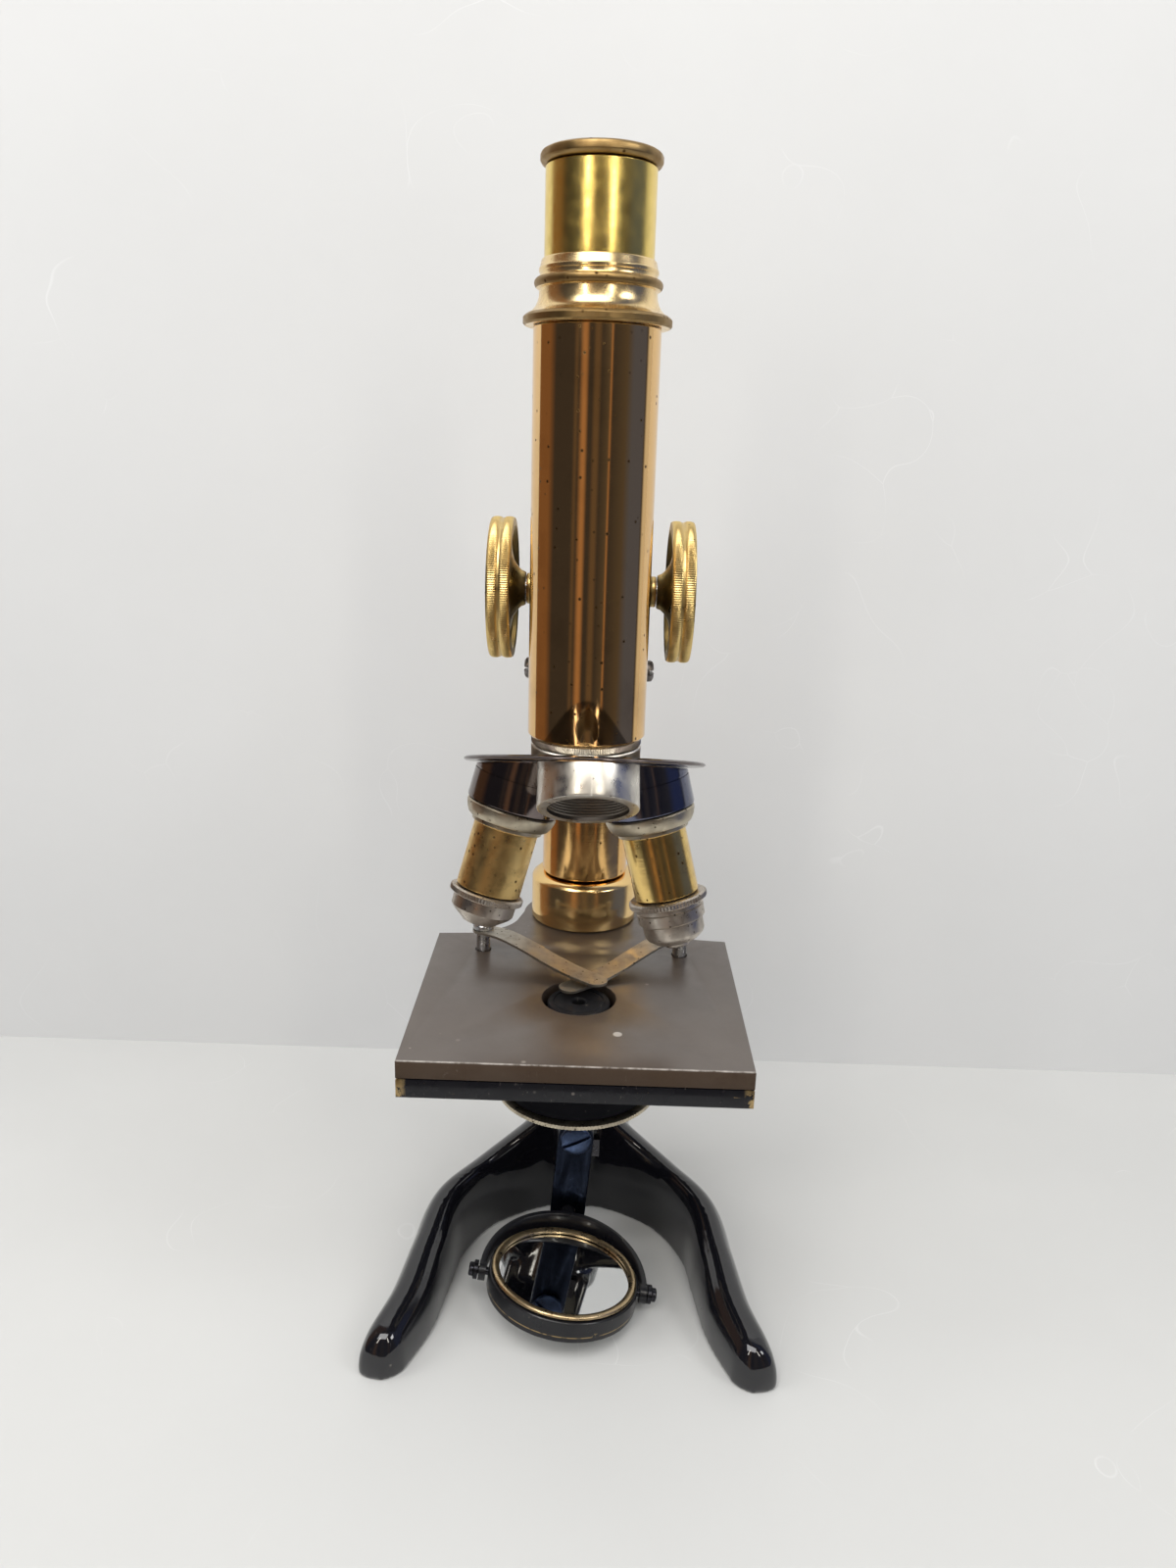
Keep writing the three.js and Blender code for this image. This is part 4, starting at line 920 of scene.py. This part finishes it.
def make_nosepiece():
    r, low, high = span("nosepiece_ring", OPTICAL)
    bore, neck, knurl_top = 9.5, 14.3, low + 2.1
    ring = [(bore, low), (r - 0.4, low), (r, low + 0.35, KNURL), (r, knurl_top - 0.35, KNURL)]
    ring += [(r - 0.5, knurl_top), (neck, knurl_top), (neck, high), (bore, high)]
    show_knurled("nosepiece_ring", ring, OPTICAL, "socket", 150)

    r, low, high = span("nosepiece_plate", TILTED)
    outline = [(0, low), (r - 0.5, low), (r, low + 0.35), (r, high - 0.35), (r - 0.5, high), (0, high)]
    disc = turned("nosepiece_plate_fine", outline, TILTED, 160)
    for place in STATION.values():
        combine(disc, rod(OBJECTIVE_BORE_R, -75, -45, place, 96))
    combine(disc, rod(PIVOT_HOLE_R, -70, -50, TILTED, 32))
    stands_for(finish(rounded(disc, 0.1, 50), "dark_nickel"), "nosepiece_plate")
    make_mount(low + 1.3)

    r, low, high = span("nosepiece_pivot_screw", TILTED)
    shank, under = 2.2, low + 2.3
    screw = [(0, low), (3, low), (r - 0.3, low + 0.7), (r, low + 1.2), (r, under)]
    screw += [(shank, under), (shank, high), (0, high)]
    show_turned("nosepiece_pivot_screw", screw, TILTED, "steel", 48)
    for name, place in STATION.items():
        make_socket(name, place)


def make_mount(low):
    """The knurled wedge between the tube and the tilted disc, and the tongue that holds the pivot."""
    r = span("nosepiece_ring", OPTICAL)[0]
    top = above_stage(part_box("nosepiece_ring")[0].z) - 0.3
    wedge = [(LIGHT_WAY_R, 60), (r, 60, KNURL), (r, top - 0.35, KNURL), (r - 0.4, top), (LIGHT_WAY_R, top)]
    mount = turned("nosepiece_mount_fine", wedge, OPTICAL, teeth=150)
    combine(mount, block("under", (-60, -60, -120), (60, 60, low), TILTED))
    tongue = arc_points((0, 0), 6.5, 180, 360, 24) + [(6.5, 12), (-6.5, 12)]
    bridge = flat("bridge", [tongue], low, low + 0.65, TILTED, 0.05)
    combine(bridge, rod(LIGHT_WAY_R, 50, 90, OPTICAL, 64))
    combine(bridge, rod(PIVOT_HOLE_R, -65, -50, TILTED, 32))
    combine(mount, bridge, "UNION")
    stands_for(finish(smooth(mount, 28), "socket"), "nosepiece_mount")


SOCKET_FINISH = {"front": "socket", "left": "dark_nickel", "right": "blue_nickel"}


def make_socket(name, place):
    """A socket with its cut thread, its top trimmed to the underside of the tilted disc."""
    r, low, high = span(f"socket_{name}", place)
    bore, pitch, thread = OBJECTIVE_BORE_R, 0.72, 0.3
    outline = [(bore + 0.3, low), (r - 0.5, low), (r - 0.15, low + 0.15), (r, low + 0.5)]
    if name != "front":
        groove = -65.2
        outline += [(r, groove - 0.3), (r - 0.35, groove - 0.2), (r - 0.35, groove + 0.2), (r, groove + 0.3)]
    outline += [(r, high), (bore, high)]
    count = int((high - low - 3) / pitch)
    for i in range(count, 0, -1):
        z = low + 0.6 + i * pitch
        outline += [(bore, z), (bore + thread, z - pitch / 2)]
    socket = turned(f"socket_{name}_fine", outline, place, 128)
    top = span("nosepiece_plate", TILTED)[1] - 0.3
    combine(socket, block("above", (-60, -60, top), (60, 60, 0), TILTED))
    if name == "front":
        seam = block("seam", (-0.05, -r - 1, low - 1), (0.05, -r + 0.4, high + 1), place)
        combine(socket, seam)
    finish(smooth(socket, 28), SOCKET_FINISH[name])
    # the thread faces inside the bore get the near-black nickel: painted shade
    socket.data.materials.append(FINISH["thread"])
    for face in socket.data.polygons:
        off_axis = math.hypot(face.center.x, face.center.y) / MM
        if off_axis < bore + thread + 0.05 and face.center.z / MM > low + 0.4:
            face.material_index = 1
    stands_for(socket, f"socket_{name}")


# Radius and height of each step of an objective's nose, from its knurled ring down to its tip
NOSE_STEPS = {
    "left": ((8.7, -99.4), (8.6, -103.0), (7.9, -103.9), (4.9, -106.3), (4.6, -106.6)),
    "right": (
        (9.3, -99.7), (9.3, -100.9), (9.0, -101.1), (9.3, -101.3), (9.2, -104.2), (8.8, -104.5), (8.45, -104.7),
        (8.3, -108.0), (7.9, -108.9), (6.2, -110.3), (3.7, -110.6), (3.5, -111.7), (3.2, -112),
    ),
}


def make_objective(name):
    place = STATION[name]
    flange, low, high = span(f"objective_{name}_barrel", place)
    body, thread, bore = 8.8, 9.4, 7
    top = high - 8
    step = body + 0.9
    outline = [(bore, low), (body - 0.2, low), (body, low + 0.2), (body, top - 5.6)]
    outline += [(step, top - 5.3), (step, top - 4.2), (flange - 1.6, top - 4.1), (flange - 1.1, top - 3.6)]
    outline += [(flange - 0.5, top - 2.4), (flange - 0.1, top - 1.2), (flange, top - 0.4), (flange - 0.3, top)]
    outline += [(thread, top), (thread, high), (bore, high)]
    barrel = rounded(turned(f"objective_{name}_barrel_fine", outline, place, 128), 0.1)
    finish(barrel, "aged" if name == "left" else "olive")
    barrel.data.materials.append(FINISH["iris"])
    for face in barrel.data.polygons:
        if face.center.z / MM > top - 5:
            face.material_index = 1
    stands_for(barrel, f"objective_{name}_barrel")

    ring, tip, high = span(f"objective_{name}_nose", place)
    start = low - 0.3
    inner = 2.1
    knurl, spigot = 0.25, 6.7
    outline = [(5, high), (5, start - 4), (inner, tip + 2.2), (inner, tip), *reversed(NOSE_STEPS[name])]
    outline += [(ring - 0.7, start - 2.1), (ring, start - 1.7, knurl), (ring, start - 0.5, knurl)]
    outline += [(ring - 0.7, start - 0.1), (spigot, start), (spigot, high)]
    show_knurled(f"objective_{name}_nose", outline, place, "dull_nickel", 72)


# ---- mirror

def make_mirror():
    """The bar, fork and cell, each turned with the joint that it hangs on."""
    low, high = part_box("mirror_bar")
    front, back = (low.y - AXIS_Y) / MM, (high.y - AXIS_Y) / MM
    half, length = 6, 29.1
    strip = arc_points((0, 0), half, 0, 180, 24) + arc_points((0, -length), half, 180, 360, 24)
    holes = [circle(0, 0, 1.9, 32), circle(0, -length, 2.7, 32)]
    upright = BAR @ Matrix.Translation((0, back * MM, 0)) @ turn_about("X", 90)
    bar = flat("mirror_bar_fine", [strip, *holes], 0, back - front, upright, 0.4)
    stands_for(finish(bar, "blued"), "mirror_bar")
    facing = BAR @ Matrix.Translation((0, (front - 0.3) * MM, 0)) @ turn_about("X", 90)
    screw = slotted_head("bar_pivot_screw_fine", 5.2, 2.4, 1.1, facing, 30)
    stands_for(finish(screw, "blue_screw"), "bar_pivot_screw")

    mid, half_thick, half_tall = 25.9, 1.1, 3
    loops = []
    steps = 96
    for i in range(steps + 1):
        angle = math.pi * i / steps
        ray = Vector((math.cos(angle), math.sin(angle)))
        loop = []
        for j in range(20):
            turn = 2 * math.pi * j / 20
            out = half_thick * math.copysign(abs(math.cos(turn)) ** 0.45, math.cos(turn))
            up = half_tall * math.copysign(abs(math.sin(turn)) ** 0.45, math.sin(turn))
            y = ray.y * (mid + out)
            loop.append((ray.x * (mid + out), y, up + FORK_DROP * (y / mid - 1)))
        loops.append(loop)
    fork = loft("mirror_fork_fine", loops, FORK)
    for side in (-1, 1):
        place = PIVOTS @ Matrix.Translation((side * mid * MM, 0, 0)) @ turn_about("Y", 90)
        combine(fork, rod(half_tall, -half_thick, half_thick, place), "UNION")
    stem_end = (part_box("mirror_fork")[1].y - AXIS_Y) / MM
    combine(fork, rod(2.4, mid - 0.5, stem_end, FORK @ turn_about("X", -90)), "UNION")
    stands_for(finish(smooth(fork, 35), "worn"), "mirror_fork")
    for side, name in ((-1, "left"), (1, "right")):
        place = PIVOTS @ turn_about("Y", side * 90)
        outside = mid + half_thick + 0.3
        outline = [(0, outside - 6), (1.2, outside - 6), (1.2, outside), (2.9, outside), (2.9, outside + 1.3)]
        outline += [(2.1, outside + 1.5), (2.1, outside + 2.6), (1.7, outside + 2.9), (0, outside + 2.9)]
        show_turned(f"mirror_screw_{name}", outline, place, "black_steel", 48, 0.1)

    r, low, high = span("mirror_cell", CELL)
    seat, web = 21.9, 1
    cell = [(0, -web), (seat, -web), (seat, low), (r - 0.5, low), (r, low + 0.5), (r, high - 0.3)]
    cell += [(r - 0.3, high), (seat, high), (seat, web), (0, web)]
    show_turned("mirror_cell", cell, CELL, "cell", 160, 0.12)
    out, low, high = span("mirror_bezel", CELL)
    inside, curl = 20.9, 0.9
    bezel = [(inside, low), (out - 0.2, low), (out, low + 0.4)]
    bezel += arc_points((out - curl, high - curl), curl, 10, 90, 6)
    bezel += [(out - 1.6, high - 0.1), (inside, high - 0.5)]
    show_turned("mirror_bezel", bezel, CELL, "bezel", 160, 0.06)
    r, low, high = span("mirror_plane_glass", CELL)
    glass = [(0, low), (r, low), (r, high - 0.4), (r - 0.4, high), (0, high)]
    mirror = smooth(turned("mirror_plane_glass_fine", glass, CELL, 128), 20)
    stands_for(finish(mirror, "mirror"), "mirror_plane_glass")


# ---- camera, floor, wall and light

def make_camera():
    place = Vector((0.00330, -0.31780, 0.26407))
    yaw, pitch, roll = (math.radians(a) for a in (-0.459, 16.370, 1.64))
    forward = Vector((math.sin(yaw) * math.cos(pitch), math.cos(yaw) * math.cos(pitch), -math.sin(pitch)))
    level = Vector((math.cos(yaw), -math.sin(yaw), 0))
    upward = level.cross(forward)
    right = level * math.cos(roll) + upward * math.sin(roll)
    top = upward * math.cos(roll) - level * math.sin(roll)
    data = bpy.data.cameras.new("camera")
    data.sensor_fit = "VERTICAL"
    data.sensor_height = 36
    data.lens = 25.93
    camera = bpy.data.objects.new("camera", data)
    camera.matrix_world = Matrix.Translation(place) @ Matrix((right, top, -forward)).transposed().to_4x4()
    bpy.context.scene.collection.objects.link(camera)
    bpy.context.scene.camera = camera


WALL_Y = 0.142  # the wall stands close behind
TABLE_FRONT = -0.26
TABLE_SIDE = 0.31


def surface(name, colour, mark):
    """Painted board, with cloudy tone and faint pale scratches."""
    finish = Finish(name, colour, 0.0, 0.55, Specular_IOR_Level=0.3)
    cloud = finish.band(finish.noise(160, 5), 0.3, 0.7, 0, 0.5)
    base = finish.mix(cloud, colour, tuple(c * 0.9 for c in colour))
    warped = finish.node("ShaderNodeTexNoise", {"Vector": finish.place(), "Scale": 9.0}).outputs["Color"]
    bent = finish.node("ShaderNodeVectorMath", {0: finish.place(), 1: warped}, operation="ADD")
    spread = {"Vector": bent.outputs["Vector"], "Scale": 5.0}
    veins = finish.node("ShaderNodeTexVoronoi", spread, feature="DISTANCE_TO_EDGE")
    line = finish.band(veins.outputs["Distance"], 0.001, 0.005, 0.5, 0)
    here = finish.band(finish.noise(60, 4), 0.56, 0.64)
    finish.use("Base Color", finish.mix(finish.times(line, here), base, mark))
    return finish


def instead(finish, share, other):
    """Another shader takes over a surface where share is 1."""
    blend = finish.node("ShaderNodeMixShader", {0: share, 1: finish.surface, 2: other})
    finish.surface = blend.outputs["Shader"]
    finish.tree.links.new(finish.surface, finish.tree.nodes["Material Output"].inputs["Surface"])


def end_for_shiny_pieces(finish):
    """Shiny pieces see the board end at the table's front and sides, with the room beyond it."""
    spot = finish.node("ShaderNodeSeparateXYZ", {0: finish.place()})
    front = finish.band(spot.outputs["Y"], TABLE_FRONT, TABLE_FRONT - 0.02)
    across = finish.maths("ABSOLUTE", spot.outputs["X"], 0)
    side = finish.band(across, TABLE_SIDE, TABLE_SIDE + 0.02)
    mirrored = finish.node("ShaderNodeLightPath").outputs["Is Glossy Ray"]
    hidden = finish.times(finish.larger(front, side), mirrored)
    instead(finish, hidden, finish.node("ShaderNodeBsdfTransparent").outputs["BSDF"])


def floor_finish():
    finish = surface("floor_paint", (0.62, 0.62, 0.605), (0.72, 0.72, 0.71))
    end_for_shiny_pieces(finish)
    return finish.material


def wall_finish():
    """Painted board that is clear from behind, so that the back of the microscope can be seen."""
    finish = surface("wall_paint", (0.67, 0.67, 0.665), (0.76, 0.76, 0.76))
    end_for_shiny_pieces(finish)
    behind = finish.node("ShaderNodeNewGeometry").outputs["Backfacing"]
    instead(finish, behind, finish.node("ShaderNodeBsdfTransparent").outputs["BSDF"])
    return finish.material


def make_room():
    wide, deep, tall = 3000, 3000, 2500
    wall_y = WALL_Y / MM
    level = [(-wide, -deep, 0), (wide, -deep, 0), (wide, deep, 0), (-wide, deep, 0)]
    floor = mesh_object("floor", level, [(0, 1, 2, 3)], Matrix())
    floor.data.materials.append(floor_finish())
    upright = [(-wide, wall_y, 0), (wide, wall_y, 0), (wide, wall_y, tall), (-wide, wall_y, tall)]
    wall = mesh_object("wall", upright, [(0, 1, 2, 3)], Matrix())
    wall.data.materials.append(wall_finish())
    if wall.data.polygons[0].normal.y > 0:
        wall.data.flip_normals()


def make_light(name, place, aim, size, power, colour=(1, 1, 1), mirrored=True):
    data = bpy.data.lights.new(name, "AREA")
    data.shape = "RECTANGLE"
    data.size, data.size_y = size
    data.energy = power
    data.color = colour
    lamp = bpy.data.objects.new(name, data)
    lamp.location = place
    lamp.rotation_euler = (Vector(aim) - Vector(place)).to_track_quat("-Z", "Y").to_euler()
    lamp.visible_glossy = mirrored
    bpy.context.scene.collection.objects.link(lamp)


def make_world():
    """Pale light all round. What shiny pieces see in front is a dimmer room with a few warm uprights."""
    world = bpy.data.worlds.new("room")
    world.use_nodes = True
    bpy.context.scene.world = world
    room = Nodes(world.node_tree)
    plain = room.tree.nodes["Background"]
    plain.inputs["Color"].default_value = (0.93, 0.95, 1.0, 1)
    plain.inputs["Strength"].default_value = 0.56

    direction = room.node("ShaderNodeTexCoord").outputs["Generated"]
    split = room.node("ShaderNodeSeparateXYZ", {0: direction})
    angle = room.maths("ARCTAN2", split.outputs["X"], room.times(split.outputs["Y"], -1))
    ramp = room.node("ShaderNodeValToRGB", {"Fac": room.band(angle, -math.pi, math.pi)})
    elements = ramp.color_ramp.elements
    while len(elements) > 1:
        elements.remove(elements[-1])
    elements[0].position = ROOM_STOPS[0][0]
    elements[0].color = (*ROOM_STOPS[0][1], 1)
    for position, colour in ROOM_STOPS[1:]:
        elements.new(position).color = (*colour, 1)
    seen = room.node("ShaderNodeBackground", {"Color": ramp.outputs["Color"]})
    mirrored = room.node("ShaderNodeLightPath").outputs["Is Glossy Ray"]
    views = {0: mirrored, 1: plain.outputs[0], 2: seen.outputs[0]}
    either = room.node("ShaderNodeMixShader", views)
    room.tree.links.new(either.outputs[0], room.tree.nodes["World Output"].inputs["Surface"])


# Round the room from the wall by the left hand, past the front at 0.5, to the wall by the right hand
DARK = (0.045, 0.042, 0.048)
PALE = (0.62, 0.62, 0.62)
RUSSET = (0.20, 0.11, 0.06)
AMBER = (0.36, 0.21, 0.12)
FAINT = (0.12, 0.09, 0.07)
DUN = (0.085, 0.075, 0.07)
SLATE = (0.085, 0.105, 0.20)
ROOM_STOPS = (
    (0.00, PALE),
    (0.155, PALE),
    (0.175, RUSSET),
    (0.25, RUSSET),
    (0.29, DARK),
    (0.39, DARK),
    (0.405, FAINT),
    (0.42, DARK),
    (0.44, AMBER),
    (0.452, AMBER),
    (0.468, DARK),
    (0.485, DARK),
    (0.50, FAINT),
    (0.515, FAINT),
    (0.53, DARK),
    (0.57, DUN),
    (0.578, AMBER),
    (0.586, DARK),
    (0.66, DUN),
    (0.70, SLATE),
    (0.775, SLATE),
    (0.785, DARK),
    (0.80, PALE),
    (1.00, PALE),
)


def make_lights():
    bpy.context.scene.view_settings.view_transform = "Standard"
    make_light("ceiling", (-0.15, -0.55, 1.25), (0, 0, 0.1), (0.9, 0.6), 8.2)
    daylight, warm = (1.0, 0.98, 0.96), (1.0, 0.95, 0.85)
    make_light("left_window", (-1.1, -0.3, 0.9), (0, 0, 0.12), (0.5, 0.8), 4.5, daylight, mirrored=False)
    make_light("right_lamp", (0.9, -0.5, 1.0), (0, 0, 0.1), (0.35, 0.35), 3)
    for side, name in ((-1, "left_tube"), (1, "right_tube")):
        make_light(name, (side * 0.30, -0.64, 0.81), (0, 0, 0.81), (0.05, 0.78), 1.5, warm)


finish_cad_nodes()
make_camera()
make_room()
make_world()
make_lights()
make_foot()
make_stage()
make_clip("left", -1, 4.9)
make_clip("right", 1, 2.7)
make_column()
make_limb()
make_knobs()
make_tubes()
make_nosepiece()
make_objective("left")
make_objective("right")
make_mirror()
